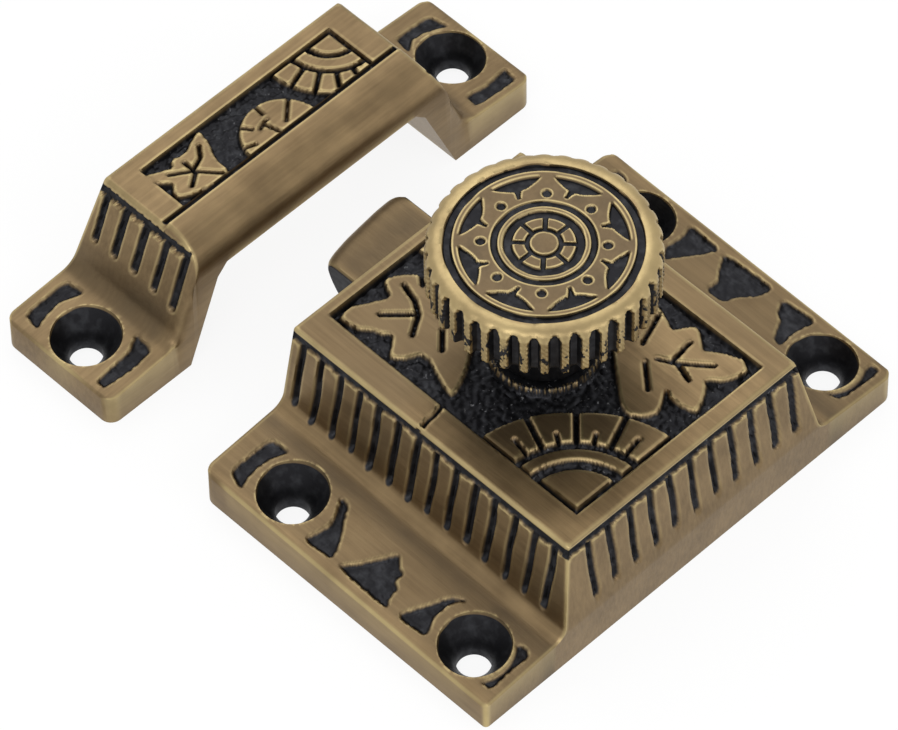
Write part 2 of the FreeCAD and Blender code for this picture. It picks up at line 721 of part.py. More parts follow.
def keeper():
    kx0 = -keeper_w / 2
    kx1 = keeper_w / 2
    half = keeper_half

    def leg_out(z):
        return leg_out_top + leg_lean * (bridge_top - z)

    hollow = cove_points(V(kx0, leg_out_foot, leg_foot_z), V(0, 1, -foot_rise), V(0, -leg_lean, 1), keeper_cove,
                         cove_facets)
    near = [V(kx0, half, 0), V(kx0, half, foot_t)] + hollow + [V(kx0, leg_out_top, bridge_top)]
    far = [V(p.x, -p.y, p.z) for p in reversed(near)]
    body = Part.Face(Part.makePolygon(near + far + [near[0]])).extrude(V(keeper_w, 0, 0))
    low = bridge_under - mouth_round
    inner = [(leg_out(-1) - leg_t, -1), (leg_out(low) - leg_t, low), (leg_out(low) - leg_t - mouth_round, bridge_under)]
    inner = inner + [(-y, z) for y, z in reversed(inner)]
    wire = Part.makePolygon([V(kx0 - 1, y, z) for y, z in inner + [inner[0]]])
    waste = [Part.Face(wire).extrude(V(keeper_w + 2, 0, 0))]
    for x, sx in ((kx0, 1), (kx1, -1)):
        for s in (1, -1):
            waste.append(corner_waste(x, s * half, sx, -s, keeper_corner_r))
    body = body.cut(Part.makeCompound(waste))
    # leaning back face
    top_x = kx1 - keeper_back_lean * (bridge_top + bar_proud - foot_t)
    high = bridge_top + bar_proud
    ends = []
    for y in (-half - 1, half + 1):
        ends.append([(kx1, y, foot_t), (kx1 + keeper_w, y, foot_t), (kx1 + keeper_w, y, high), (top_x, y, high)])
    wedge = bridge(*ends)
    body = body.cut(wedge)

    # rounded bar on the latch side: the top edge falls in one round to the front
    bar_in = kx0 + bar_w
    bar_top = bridge_top + bar_proud
    low = bridge_top - bar_drop
    arc = Part.Arc(V(bar_in, 0, bar_top), V(kx0 + bar_w * 0.33, 0, bar_top - bar_drop * 0.27), V(kx0, 0, low)).toShape()
    outside = Part.Wire([arc, Part.makePolygon([V(kx0, 0, low), V(kx0 - bar_w, 0, low), V(kx0 - bar_w, 0, big),
                                                V(bar_in, 0, big), V(bar_in, 0, bar_top)])])
    crest = box(kx0, bar_in, -leg_out_top, leg_out_top, bridge_top - 1, bar_top)
    body = body.fuse(crest)
    round_off = Part.Face(outside).extrude(V(0, keeper_len, 0))
    round_off.translate(V(0, -half, 0))
    body = body.cut(round_off)

    cut = []
    floor = bridge_top - panel_depth
    back_edge = kx1 - keeper_back_lean * (bridge_top - foot_t)
    cut.append(box(bar_in, bar_in + bar_groove, -leg_out_top - 1, leg_out_top + 1, floor + 0.3, big))
    cut.append(box(bar_in, back_edge - panel_strip, -panel_half, panel_half, floor, big))
    head_z = bridge_top - lip_drop - lip_groove_h + 0.1
    for s in (1, -1):
        y = leg_out(bridge_top - lip_drop)
        cut.append(box(bar_in - 3.4, back_edge + 1, min(s * (y - 0.3), s * (y + 2)), max(s * (y - 0.3), s * (y + 2)),
                       bridge_top - lip_drop - lip_groove_h, bridge_top - lip_drop))
        run = V(0, s, leg_lean)
        run.normalize()
        foot_z = head_z - keeper_flute_len
        for i in range(keeper_flutes):
            x = (i - (keeper_flutes - 1) / 2) * keeper_flute_pitch
            cut.append(channel(V(x, s * (leg_out(foot_z)), foot_z),
                           V(x, s * (leg_out(head_z)), head_z),
                           run, V(1, 0, 0), flute_w, flute_d, 0.5))
        cy = s * keeper_hole_y
        above = box(kx0, kx1, -half, half, foot_t + foot_rise * keeper_hole_edge - carve_d, big)
        for sx in (1, -1):
            cut.append(end_bar(0, cy, sx).common(above))
        cut.append(screw_hole(0, cy, foot_t + foot_rise * (half - abs(cy))))
    body = body.cut(Part.makeCompound(cut))
    body = body.fuse(keeper_ornament(bar_in, back_edge - panel_strip, floor)).removeSplitter()
    body.translate(V(keeper_x, keeper_y, 0))
    return body


# Outlines on the keeper's panel, from the panel's corner at +X +Y
keeper_leaf = [(-0.7, -0.6), (-1.8, -3.2), (-1.1, -5.1), (-1.7, -6.2), (-0.6, -8.2), (-3.4, -9.2), (-5.8, -7.4),
               (-6.6, -5.2), (-6.6, -2.0), (-5.4, -0.6), (-4.0, -1.8), (-2.4, -1.4)]
keeper_veins = [((-2.0, -2.4), (-4.6, -5.2)), ((-2.4, -6.4), (-4.6, -5.2)), ((-6.2, -2.8), (-4.6, -5.2))]
disc_r = 4.6
disc_ring_r = 2.4
disc_core_r = 1.8
disc_slots = 5
slot_w = 0.5
keeper_fan_r = [(0.0, 3.3), (3.9, 5.5), (6.1, 8.8)]


def keeper_ornament(x_in, x_out, floor):
    z0, z1 = floor - 0.2, bridge_top - leaf_low
    gap = 0.35
    room = box(x_in + bar_groove, x_out - gap, -panel_half + gap, panel_half - gap, z0 - 1, z1 + 1)
    def at(p):
        return (x_out + p[0], panel_half + p[1])

    leaf = prism([at(p) for p in keeper_leaf], z0, z1)
    leaf = leaf.cut(Part.makeCompound([vein(at(a), at(b), vein_w * 0.75, z0 - 1, z1 + 1) for a, b in keeper_veins]))
    pieces = [leaf.common(room)]
    disc = rod(x_in, 0, z0, z1, disc_r)
    cut = [rod(x_in, 0, z0 - 1, z1 + 1, disc_ring_r)]
    for i in range(disc_slots):
        a = math.pi * ((i + 0.5) / disc_slots - 0.5)
        cut.append(vein((x_in, 0), (x_in + disc_r * 1.2 * math.cos(a), disc_r * 1.2 * math.sin(a)), slot_w,
                        z0 - 1, z1 + 1))
    disc = disc.cut(Part.makeCompound(cut)).fuse(rod(x_in, 0, z0, z1, disc_core_r))
    pieces += [p.common(room) for p in disc.Solids]
    cx, cy = x_out, -panel_half
    for r_in, r_out in keeper_fan_r:
        ring = rod(cx, cy, z0, z1, r_out)
        if r_in > 0:
            ring = ring.cut(rod(cx, cy, z0 - 1, z1 + 1, r_in))
        if r_out == keeper_fan_r[-1][1]:
            for i in range(1, fan_slots):
                a = math.pi / 2 * (1 + i / fan_slots)
                ring = ring.cut(vein((cx, cy), (cx + r_out * 1.2 * math.cos(a), cy + r_out * 1.2 * math.sin(a)),
                                     slot_w, z0 - 1, z1 + 1))
        pieces += [p.common(room) for p in ring.Solids]
    return pieces


nodes = {
    "latch_case": latch_case,
    "back_plate": back_plate,
    "plate_screws": plate_screws,
    "bolt": bolt,
    "bolt_spring": bolt_spring,
    "cam": cam,
    "spindle": spindle,
    "cam_washer": cam_washer,
    "spindle_screw": spindle_screw,
    "knob": knob,
    "keeper": keeper,
}

os.makedirs("parts", exist_ok=True)
for name, make in nodes.items():
    shape = make()
    print(name, "solids", len(shape.Solids), "valid", shape.isValid(), "volume", round(shape.Volume, 1))
    shape.exportStep("parts/" + name + ".step")
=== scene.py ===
import bpy, bmesh, json, math
import numpy as np
from mathutils import Matrix, Vector

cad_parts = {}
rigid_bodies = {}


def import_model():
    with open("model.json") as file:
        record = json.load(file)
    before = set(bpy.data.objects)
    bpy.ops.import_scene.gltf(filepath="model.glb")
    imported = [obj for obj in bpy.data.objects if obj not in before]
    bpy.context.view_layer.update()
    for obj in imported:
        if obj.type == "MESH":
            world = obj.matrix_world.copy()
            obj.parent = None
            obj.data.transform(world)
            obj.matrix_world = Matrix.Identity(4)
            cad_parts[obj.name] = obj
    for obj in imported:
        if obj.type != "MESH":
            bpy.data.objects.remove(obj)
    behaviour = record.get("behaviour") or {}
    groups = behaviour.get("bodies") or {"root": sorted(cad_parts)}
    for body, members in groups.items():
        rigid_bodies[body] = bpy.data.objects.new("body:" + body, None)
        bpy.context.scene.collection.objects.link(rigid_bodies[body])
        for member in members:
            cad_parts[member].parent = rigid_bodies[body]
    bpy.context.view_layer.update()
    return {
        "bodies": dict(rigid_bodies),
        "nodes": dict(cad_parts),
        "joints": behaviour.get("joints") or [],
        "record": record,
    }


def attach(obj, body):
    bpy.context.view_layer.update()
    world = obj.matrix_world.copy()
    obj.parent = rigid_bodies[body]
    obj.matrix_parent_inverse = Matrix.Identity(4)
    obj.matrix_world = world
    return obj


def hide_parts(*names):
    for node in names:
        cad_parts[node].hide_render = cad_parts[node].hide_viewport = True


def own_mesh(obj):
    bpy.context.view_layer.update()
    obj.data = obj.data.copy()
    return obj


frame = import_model()
mm = 0.001
print("frame loaded:", len(frame["nodes"]), "nodes")


# Helpers for carved relief. Everything is worked out in millimetres.

def smooth(t):
    t = np.clip(t, 0.0, 1.0)
    return t * t * (3 - 2 * t)


def highest(first, *others):
    for other in others:
        first = np.maximum(first, other)
    return first


def lowest(first, *others):
    for other in others:
        first = np.minimum(first, other)
    return first


def lineDistance(x, y, a, b):
    ax, ay = a
    bx, by = b
    dx, dy = bx - ax, by - ay
    t = np.clip(((x - ax) * dx + (y - ay) * dy) / (dx * dx + dy * dy + 1e-12), 0, 1)
    return np.hypot(x - ax - t * dx, y - ay - t * dy)


def pathDistance(x, y, path):
    return lowest(*(lineDistance(x, y, a, b) for a, b in zip(path, path[1:])))


def outlineDistance(x, y, points):
    # signed distance to a closed outline, negative inside
    best = np.full(np.shape(x), 1e9)
    inside = np.zeros(np.shape(x), bool)
    n = len(points)
    for i in range(n):
        a, b = points[i], points[(i + 1) % n]
        best = np.minimum(best, lineDistance(x, y, a, b))
        crosses = (a[1] > y) != (b[1] > y)
        with np.errstate(divide="ignore", invalid="ignore"):
            at = (b[0] - a[0]) * (y - a[1]) / (b[1] - a[1] + 1e-15) + a[0]
        inside ^= crosses & (x < at)
    return np.where(inside, -best, best)


def softCorners(points, cut=0.22):
    # takes the sharp corners off a drawn outline, as a hand file does
    out = []
    n = len(points)
    for i in range(n):
        p, q, r = (np.array(points[k % n], float) for k in (i - 1, i, i + 1))
        out.append(tuple(q + (p - q) * cut))
        out.append(tuple(q + (r - q) * cut))
    return out


pebbleTable = np.random.default_rng(11).random((64, 64, 3))


def pebbles(x, y, pitch):
    # rounded grains of a punched ground, 0 between them and 1 on their tops
    u, v = x / pitch, y / pitch
    iu, iv = np.floor(u).astype(int), np.floor(v).astype(int)
    best = np.zeros(np.shape(x))
    for du in (-1, 0, 1):
        for dv in (-1, 0, 1):
            cell = pebbleTable[(iu + du) % 64, (iv + dv) % 64]
            cu, cv = iu + du + cell[..., 0], iv + dv + cell[..., 1]
            r = 0.42 + 0.35 * cell[..., 2]
            best = np.maximum(best, 1 - ((u - cu) ** 2 + (v - cv) ** 2) / (r * r))
    return np.clip(best, 0, 1)


def ripple(x, y, seed):
    # slow unevenness left by hand finishing, about -1 to 1
    rng = np.random.default_rng(seed)
    total = np.zeros(np.shape(x))
    for scale in (9.0, 5.0, 3.1):
        turn, _, slantShift, levelShift = rng.random(4) * 2 * math.pi
        slant = x / scale * math.cos(turn) * 3 + y / scale * math.sin(turn) * 3
        total = total + np.sin(slant + slantShift) * np.sin(y / scale * 2.3 + levelShift)
    return total / 3


def ragged(x, y, size=0.07):
    # small unevenness that a hand-cut outline keeps
    wave = np.sin(x * 4.1 + 2.3 * np.sin(y * 3.1)) + np.sin(y * 5.3 + 2.1 * np.sin(x * 3.7 + 1))
    return size * 0.5 * (wave + 0.6 * np.sin(x * 9.7 + y * 7.9))


class Skin:
    # collects grids of points and joins them into one closed mesh
    def __init__(self):
        self.points, self.faces = [], []

    def add(self, array):
        flat = np.asarray(array, float).reshape(-1, 3)
        start = len(self.points)
        self.points.extend(map(tuple, flat))
        return start

    def grid(self, rows, flip=False, closed=False):
        rows = np.asarray(rows, float)
        n, m = rows.shape[:2]
        s = self.add(rows)
        for i in range(n - 1):
            for j in range(m if closed else m - 1):
                k = (j + 1) % m
                quad = (s + i * m + j, s + i * m + k, s + (i + 1) * m + k, s + (i + 1) * m + j)
                self.faces.append(quad[::-1] if flip else quad)

    def polygon(self, ring, flip=False):
        s = self.add(ring)
        loop = tuple(range(s, s + len(ring)))
        self.faces.append(loop[::-1] if flip else loop)

    def build(self, name, weld=0.0015):
        mesh = bpy.data.meshes.new(name)
        mesh.from_pydata([(x * mm, y * mm, z * mm) for x, y, z in self.points], [], self.faces)
        bm = bmesh.new()
        bm.from_mesh(mesh)
        bmesh.ops.remove_doubles(bm, verts=bm.verts, dist=weld * mm)
        bmesh.ops.dissolve_degenerate(bm, dist=1e-7, edges=bm.edges)
        bmesh.ops.recalc_face_normals(bm, faces=bm.faces)
        bm.to_mesh(mesh)
        bm.free()
        piece = bpy.data.objects.new(name, mesh)
        bpy.context.collection.objects.link(piece)
        return piece


def bakeModifiers(piece):
    graph = bpy.context.evaluated_depsgraph_get()
    mesh = bpy.data.meshes.new_from_object(piece.evaluated_get(graph))
    piece.modifiers.clear()
    piece.data = mesh
    return piece


def combine(piece, others, kind):
    # takes closed cutters out of a closed piece, or joins closed blocks to it
    for other in others:
        mod = piece.modifiers.new("combine", "BOOLEAN")
        mod.operation, mod.solver, mod.object = kind, "MANIFOLD", other
        bakeModifiers(piece)
        bpy.data.objects.remove(other, do_unlink=True)
    return piece


def carve(piece, cutters):
    return combine(piece, cutters, "DIFFERENCE")


def blockCutter(x0, x1, y0, y1, z0, z1):
    s = Skin()
    s.add([(x, y, z) for z in (z0, z1) for y in (y0, y1) for x in (x0, x1)])
    s.faces = [(0, 2, 3, 1), (4, 5, 7, 6), (0, 1, 5, 4), (2, 6, 7, 3), (0, 4, 6, 2), (1, 3, 7, 5)]
    return s.build("cutter")


def turnedCutter(x, y, profile, sides=64):
    # a turned shape from (radius, height) pairs, closed at both ends
    s = Skin()
    a = np.arange(sides) * 2 * math.pi / sides
    rows = [np.stack([x + r * np.cos(a), y + r * np.sin(a), np.full(sides, z)], 1) for r, z in profile]
    s.grid(rows, closed=True)
    s.polygon(rows[0], flip=True)
    s.polygon(rows[-1])
    return s.build("cutter")


def sinkCutter(x, y, z, hole, mouth):
    # through hole and countersink, ringed so that paint can end at the mouth
    depth = 2.9
    rings = [(hole, -1), (hole, z - depth)]
    for t in (0.35, 0.6, 0.75, 0.83, 0.9, 0.97):
        rings.append((hole + (mouth - hole) * t, z - depth * (1 - t)))
    rings += [(mouth + 0.12, z + 0.16), (mouth + 0.3, z + 0.5), (mouth + 0.4, z + 3)]
    return turnedCutter(x, y, rings, 72)


def meshPoints(piece):
    n = len(piece.data.vertices)
    co = np.empty(n * 3, np.float32)
    piece.data.vertices.foreach_get("co", co)
    return co.reshape(n, 3).astype(float) / mm


def paint(piece, values, name="patina"):
    layer = piece.data.attributes.get(name) or piece.data.attributes.new(name, "FLOAT", "POINT")
    layer.data.foreach_set("value", np.clip(values, 0, 1).astype(np.float32))


def painted(piece, name):
    # the painted values of a piece, zero where it has none
    values = np.zeros(len(piece.data.vertices), np.float32)
    if name in piece.data.attributes:
        piece.data.attributes[name].data.foreach_get("value", values)
    return values.astype(float)


# from where and over what span a look sets in, and how strong it is
aging = {"wornEdge": (0.25, 1.0), "brightShare": 0.6, "shadedCorner": (0.3, 1.4), "cornerShare": 0.55,
         "longEdge": (1.2, 1.2), "upright": (0.12, 0.7), "uprightShare": 0.24}


def finishSurface(piece, angle=48):
    # paints worn edges, painted shade in tight concave corners and painted shade on upright faces from the shape
    # itself
    mesh = piece.data
    n = len(mesh.vertices)
    normal = np.empty(n * 3, np.float32)
    mesh.vertices.foreach_get("normal", normal)
    normal = normal.reshape(n, 3).astype(float)
    ends = np.empty(len(mesh.edges) * 2, np.int32)
    mesh.edges.foreach_get("vertices", ends)
    i, j = ends.reshape(-1, 2).T
    p = meshPoints(piece)
    along = p[i] - p[j]
    square = np.sum(along * along, axis=1)
    links = np.maximum(np.bincount(i, minlength=n) + np.bincount(j, minlength=n), 1)

    def mean(atFirst, atSecond):
        return (np.bincount(i, atFirst, n) + np.bincount(j, atSecond, n)) / links

    def sets(value, name):
        start, span = aging[name]
        return smooth((value - start) / span)

    bend = np.sum((normal[i] - normal[j]) * along, axis=1) / np.maximum(square, 0.01)
    curve, upright = mean(bend, bend), 1 - normal[:, 2]
    for _ in range(2):
        curve = 0.5 * curve + 0.5 * mean(curve[j], curve[i])
        upright = 0.5 * upright + 0.5 * mean(upright[j], upright[i])
    coarse = np.zeros(n)
    for end in (i, j):
        np.maximum.at(coarse, end, np.sqrt(square))
    dark = painted(piece, "patina")
    worn = np.maximum(sets(curve, "wornEdge"), aging["brightShare"] * painted(piece, "bright"))
    # painted shade: tight concave corners are darkened and joined to the patina
    corner = aging["cornerShare"] * sets(-curve, "shadedCorner") * (1 - sets(coarse, "longEdge"))
    paint(piece, worn * (1 - dark), "wear")
    paint(piece, np.maximum(dark, corner))
    # painted shade: upright faces are darkened, together with each piece's painted shade and grime
    uprightShade = aging["uprightShare"] * sets(upright, "upright")
    paint(piece, np.maximum(uprightShade, painted(piece, "grime")), "tarnish")
    for poly in mesh.polygons:
        poly.use_smooth = True
    mesh.set_sharp_from_angle(angle=math.radians(angle))


def edgeArc(y, z, wide, tall, steps, kind, first=0):
    # quarter round from the side to the top about y, z: points, outward normals, kind of surface
    turns = [k / steps * math.pi / 2 for k in range(first, steps + 1)]
    return [(y + wide * math.cos(a), z + tall * math.sin(a), math.cos(a), math.sin(a), kind) for a in turns]


def coveArc(corner, slope, lean, radius, steps):
    # hollow between a sloping flange and a leaning wall: where it starts, where it ends, its points
    toFlange = np.array((1, -slope)) / math.hypot(1, slope)
    toTop = np.array((-lean, 1)) / math.hypot(1, lean)
    half = math.acos(float(toFlange @ toTop)) / 2
    run = radius / math.tan(half)
    start, end = corner + toFlange * run, corner + toTop * run
    middle = toFlange + toTop
    cy, cz = corner + middle / np.linalg.norm(middle) * radius / math.sin(half)
    a0, a1 = (math.atan2(z - cz, y - cy) for y, z in (start, end))
    if a1 > a0:
        a1 -= 2 * math.pi
    turns = [a0 + (a1 - a0) * k / steps for k in range(1, steps + 1)]
    points = [(cy + radius * math.cos(a), cz + radius * math.sin(a), -math.cos(a), -math.sin(a), 2) for a in turns]
    return start, end, points


# Latch case: flanges, fluted walls and carved top as one skin, then its holes and cavity

latchCase = {
    "plateX": (-19.4, 22.2), "halfWidth": 30.15, "frameX": -17.6, "frameHalf": 16.6, "top": 16.2,
    "wallLean": 0.20, "rearLean": 0.165, "edge": (3.6, 4.6), "slope": 0.089, "cove": 1.8,
    "corner": 1.5, "frontCorner": 0.5, "edgeRound": 0.4, "lipRound": 0.32, "flangeRows": 59, "bend": 4.6,
    "holes": (13.3, 25.8), "holeR": 1.85, "sinkR": 3.9,
    "recess": [(20.8, 12.8), (-15.2, 12.9), (-15.5, -13.8), (20.8, -13.5)], "recessDepth": 0.9,
    "boss": (2.3, 0.0, 6.2, 0.15), "plateScrews": (17.7, -13.3, 11.5),
    # seat of the back plate, room for the latch work in two widths, slot for the bolt
    "cavity": [(-16.8, 20.48, -15.0, 15.0, -1, 5.5), (-15.0, 19.4, -9.8, 9.8, -0.5, 12.8),
               (-11.6, 16.0, -13.2, 13.2, -0.5, 12.8), (18.4, 24, -6.15, 6.15, 5.65, 12.45)],
    # flutes: number, pitch, centre and foot; walls: flutes, seed and shift of the groove's waves
    "flute": {"width": 0.86, "depth": 0.6, "head": 14.7}, "sideFlutes": (14, 2.81, 2.26, 6.2),
    "walls": {1: ("sideFlutes", 5, 0), -1: ("sideFlutes", 6, 0), 0: ("rearFlutes", 8, 40)},
    "rearFlutes": (11, 2.94, -0.8, 6.8), "groove": (14.6, 15.7, 0.42), "perFlute": 14,
}

leafFar = [(20.0, 12.2), (20.1, 10.3), (19.1, 8.6), (18.0, 6.6), (19.0, 6.2), (20.1, 5.7), (20.0, 4.8),
           (19.4, 3.8), (18.1, 2.4), (12.6, 1.2), (9.4, 3.2), (7.2, 5.6), (5.2, 8.6), (4.3, 11.4), (6.6, 10.7),
           (8.3, 10.0), (9.4, 9.6), (10.5, 9.6), (11.2, 11.2), (12.6, 12.3), (13.8, 10.5), (14.5, 9.9),
           (15.1, 10.6), (16.5, 11.1), (17.2, 11.8), (19.0, 12.2)]
leafFarVeins = [[(17.2, 9.1), (14.7, 6.5)], [(18.2, 4.6), (16.0, 5.2), (14.4, 6.2), (12.9, 8.6)],
                [(19.6, 0.9), (16.8, 3.2)], [(15.4, 2.2), (12.6, 4.9)], [(11.2, 5.9), (9.3, 7.8)]]
leafNear = [(-14.6, -12.6), (-13.5, -13.2), (-12.2, -12.8), (-10.9, -12.1), (-9.5, -11.1), (-9.0, -11.7),
            (-7.8, -12.6), (-7.1, -12.9), (-6.4, -12.4), (-5.6, -10.7), (-4.4, -11.4), (-1.4, -12.3), (1.0, -10.0),
            (-1.5, -6.0), (-5.0, -3.0), (-8.0, -0.6), (-9.8, 0.3), (-11.3, -0.8), (-12.0, -2.3), (-10.2, -5.1),
            (-11.8, -4.3), (-13.5, -4.5), (-14.8, -5.0), (-14.1, -6.5), (-13.3, -7.9), (-12.4, -8.5), (-12.8, -9.0),
            (-13.8, -9.7), (-14.4, -10.9), (-14.6, -11.9)]
leafNearVeins = [[(-7.0, -7.0), (-8.7, -7.9), (-11.9, -10.5)], [(-8.4, -7.8), (-8.0, -10.9)], [(-9.0, -8.0), (-11.3, -7.3)],
                 [(-6.5, -5.8), (-9.2, -3.5)], [(-3.2, -11.2), (-4.6, -7.4)]]
flangeCuts = {
    1: [[(4.7, 28.4), (5.6, 26.4), (6.7, 24.9), (8.2, 22.7), (9.2, 22.7), (8.2, 24.2), (7.7, 25.7), (7.9, 27.0), (8.4, 28.7)],
        [(3.6, 28.6), (2.2, 26.9), (1.3, 25.4), (0.8, 24.6), (0.0, 23.3), (-1.0, 24.4), (-1.9, 24.7), (-1.9, 25.9),
         (-2.7, 26.3), (-2.9, 27.6), (-3.6, 28.7)],
        [(-5.0, 28.6), (-6.6, 25.4), (-7.5, 23.4), (-9.1, 22.3), (-7.9, 23.8), (-7.8, 26.0), (-8.9, 28.3)],
        [(19.9, 28.2), (19.7, 22.7), (17.2, 22.4), (18.1, 24.3), (18.3, 26.3), (18.1, 27.8), (17.6, 28.9)],
        [(-16.4, 22.7), (-17.5, 22.3), (-18.2, 22.9), (-18.0, 25.1), (-18.1, 28.1), (-16.6, 28.3), (-17.2, 26.5), (-17.3, 24.7)]],
    -1: [[(9.1, -28.9), (4.7, -28.7), (5.7, -26.7), (6.8, -25.0), (7.7, -23.4), (8.7, -24.7), (8.5, -27.1)],
         [(4.0, -28.7), (-2.8, -29.1), (-2.5, -27.3), (-1.0, -25.3), (-0.6, -23.9), (1.1, -23.6), (1.8, -24.0),
          (1.7, -25.4), (2.6, -26.5)],
         [(-4.6, -28.7), (-9.0, -29.2), (-8.4, -26.6), (-8.7, -23.9), (-7.6, -24.2), (-6.4, -26.5), (-5.4, -27.1)],
         [(-16.8, -29.2), (-18.0, -29.2), (-18.1, -28.0), (-18.0, -23.5), (-16.6, -22.8), (-17.3, -25.2), (-17.3, -27.0)],
         [(19.9, -28.6), (19.8, -22.8), (17.3, -22.6), (18.1, -24.6), (18.3, -26.5), (18.0, -28.4)]],
}


def caseEdge(x):
    c = latchCase
    share = (x - c["plateX"][0]) / (c["plateX"][1] - c["plateX"][0])
    return c["edge"][0] + (c["edge"][1] - c["edge"][0]) * share


def fluteDepth(along, z, flutes, seed):
    # depth of the wall flutes and their patina
    c = latchCase["flute"]
    count, pitch, centre, foot = latchCase[flutes]
    first = centre - (count - 1) / 2 * pitch
    index = np.clip(np.round((along - first) / pitch), 0, count - 1).astype(int)
    vary = np.random.default_rng(seed).random((count, 3))
    sway = 0.3 * (vary[index, 0] - 0.5) * ((z - 10) / 5) ** 2 + 0.05 * np.sin(z * 0.9 + index * 2.3)
    off = np.abs(along - first - index * pitch - sway)
    toe = foot + 0.7 * (vary[index, 2] - 0.3)
    half = c["width"] / 2 * (0.9 + 0.2 * vary[index, 1])
    inside = half - np.where(z < toe + half, np.hypot(off, toe + half - z), off)
    inside = np.minimum(inside, c["head"] - z)
    return c["depth"] * smooth(inside / 0.42 + 0.3), np.clip(inside / 0.5 + 0.5, 0, 1)


def grooveDepth(z, along):
    # depth of the ragged groove under the frame, and its patina
    low, high, deep = latchCase["groove"]
    low = low + 0.13 * np.sin(along * 1.9) * np.sin(along * 0.83 + 1) + 0.07 * np.sin(along * 6.1)
    inside = np.minimum(z - low, high - z)
    return deep * smooth(inside / 0.25 + 0.3), np.clip(inside / 0.4 + 0.5, 0, 1)


def wallCarving(along, z, wall, toeShift=0):
    # depth and patina of the flutes and groove of the near wall 1, the far wall -1 or the end wall 0
    flutes, seed, shift = latchCase["walls"][wall]
    pairs = zip(fluteDepth(along, z + toeShift, flutes, seed), grooveDepth(z, along + shift))
    return [np.maximum(flute, groove) for flute, groove in pairs]


def fanRaise(x, y, cx, cy, sx, sy):
    # quarter fan in a corner of the panel: a sector, a band and slit petals
    dx, dy = (x - cx) * sx, (cy - y) * sy
    r = np.hypot(dx, dy)
    angle = np.arctan2(dx, dy) / (math.pi / 2)
    inner = np.minimum(dx, dy)
    sector = np.minimum(5.7 - r, inner - 0.55)
    band = lowest(8.3 - r, r - 6.9, inner - 0.35)
    outer = 12.9 + 0.9 * np.abs(angle - 0.5) * 2
    petals = lowest(outer - r, r - 9.2, inner - 0.4)
    share = angle * 4
    gap = np.abs(share - np.round(share)) * r * (math.pi / 8)
    gap = np.where((np.round(share) > 0) & (np.round(share) < 4), gap, 9)
    slit = np.abs(share - np.floor(share) - 0.5) * r * (math.pi / 8)
    reach = np.where((share < 1) | (share > 3), 11.6, 10.6)
    petals = lowest(petals, gap - 0.33, np.maximum(slit - 0.24, r - reach))
    return highest(sector, band, petals)


def seamShare(x, y):
    # joint across the frame, slightly askew
    middle = 3.9 - 0.12 * (y - 14.6) + 0.05 * np.sin(y * 3)
    return 1 - smooth((np.abs(x - middle) - 0.06) / 0.24)


def topRelief(x, y):
    # height over the frame (negative is sunk) and how much dark patina lies there, with painted shade on the boss
    # under the knob
    c = latchCase
    panel = -outlineDistance(x, y, c["recess"])
    raised = np.full(np.shape(x), -9.0)
    for outline, veins in ((leafFar, leafFarVeins), (leafNear, leafNearVeins)):
        form = 0.8 * ragged(x, y) - outlineDistance(x, y, softCorners(softCorners(outline, 0.2)))
        for path in veins:
            form = np.minimum(form, pathDistance(x, y, path) + 0.4 * ragged(y, x) - 0.24)
        raised = np.maximum(raised, form)
    for cx, cy, sx, sy in ((-15.2, 12.9, 1, 1), (20.8, -13.5, -1, -1)):
        raised = np.maximum(raised, fanRaise(x, y, cx, cy, sx, sy))
    bx, by, br, bh = c["boss"]
    r = np.hypot(x - bx, y - by)
    raised = np.minimum(raised, r - br - 0.8)
    open_ = np.minimum(panel, -raised)
    ground = c["recessDepth"] - 0.05 - 0.22 * pebbles(x, y, 0.62)
    height = -ground * smooth(open_ / 0.4 + 0.3) - 0.05 * smooth(panel / 0.3)
    dark = np.clip(open_ / 0.6 + 0.42, 0, 1)
    # painted shade on the boss under the knob, broken along its rim by painted highlights
    hub = smooth((br - r) / 0.3)
    height = height * (1 - hub) + bh * hub
    rim = smooth((r - br + 0.75) / 0.2)
    cloudy = 0.85 - 0.3 * rim + 0.5 * ragged(x * 2, y * 2, 1.0)
    dark = np.maximum(dark * (1 - hub * rim), hub * cloudy)
    seam = seamShare(x, y) * (y > 12.5)
    return height - 0.5 * seam, np.maximum(dark, 0.9 * seam)


def flangeRelief(x, y, side):
    c = latchCase
    cut = np.full(np.shape(x), -9.0)
    for outline in flangeCuts[side]:
        cut = np.maximum(cut, 0.9 * ragged(x, y) - outlineDistance(x, y, softCorners(outline, 0.14)))
    r = np.hypot(np.abs(x) - c["holes"][0], y - side * c["holes"][1])
    cut = np.minimum(cut, r - c["sinkR"] - 0.5)
    ground = 0.5 - 0.08 * pebbles(x, y, 0.55)
    return -smooth(cut / 0.42 + 0.4) * ground, np.clip(cut / 0.6 + 0.5, 0, 1)


def caseHalfSection(x):
    # one side from the plate's bottom edge to the frame: y, z, outward normal, kind of surface
    c = latchCase
    half, top, lean, slope, r = (c[k] for k in ("halfWidth", "top", "wallLean", "slope", "edgeRound"))
    edge = caseEdge(x)
    level = edge + slope * half
    cornerY = (c["frameHalf"] + lean * (top - level)) / (1 - lean * slope)
    start, end, cove = coveArc(np.array((cornerY, level - slope * cornerY)), slope, lean, c["cove"], 8)
    rows = [(half, 0, 1, 0, 0)] + edgeArc(half - r, edge - r, r, r, 4, 0)
    for t in np.linspace(0, 1, c["flangeRows"] + 1)[1:]:
        y = half - r + (start[0] - half + r) * t
        rows.append((y, edge + slope * (half - y), slope, 1, 1))
    rows += cove
    lip = c["lipRound"]
    for z in np.concatenate([np.linspace(end[1], 14.3, 20)[1:], np.linspace(14.42, top - lip, 13)]):
        rows.append((c["frameHalf"] + lean * (top - z), z, 1, lean, 3))
    return rows + edgeArc(c["frameHalf"] - lip, top - lip, lip + lean * lip, lip, 3, 4, 1)


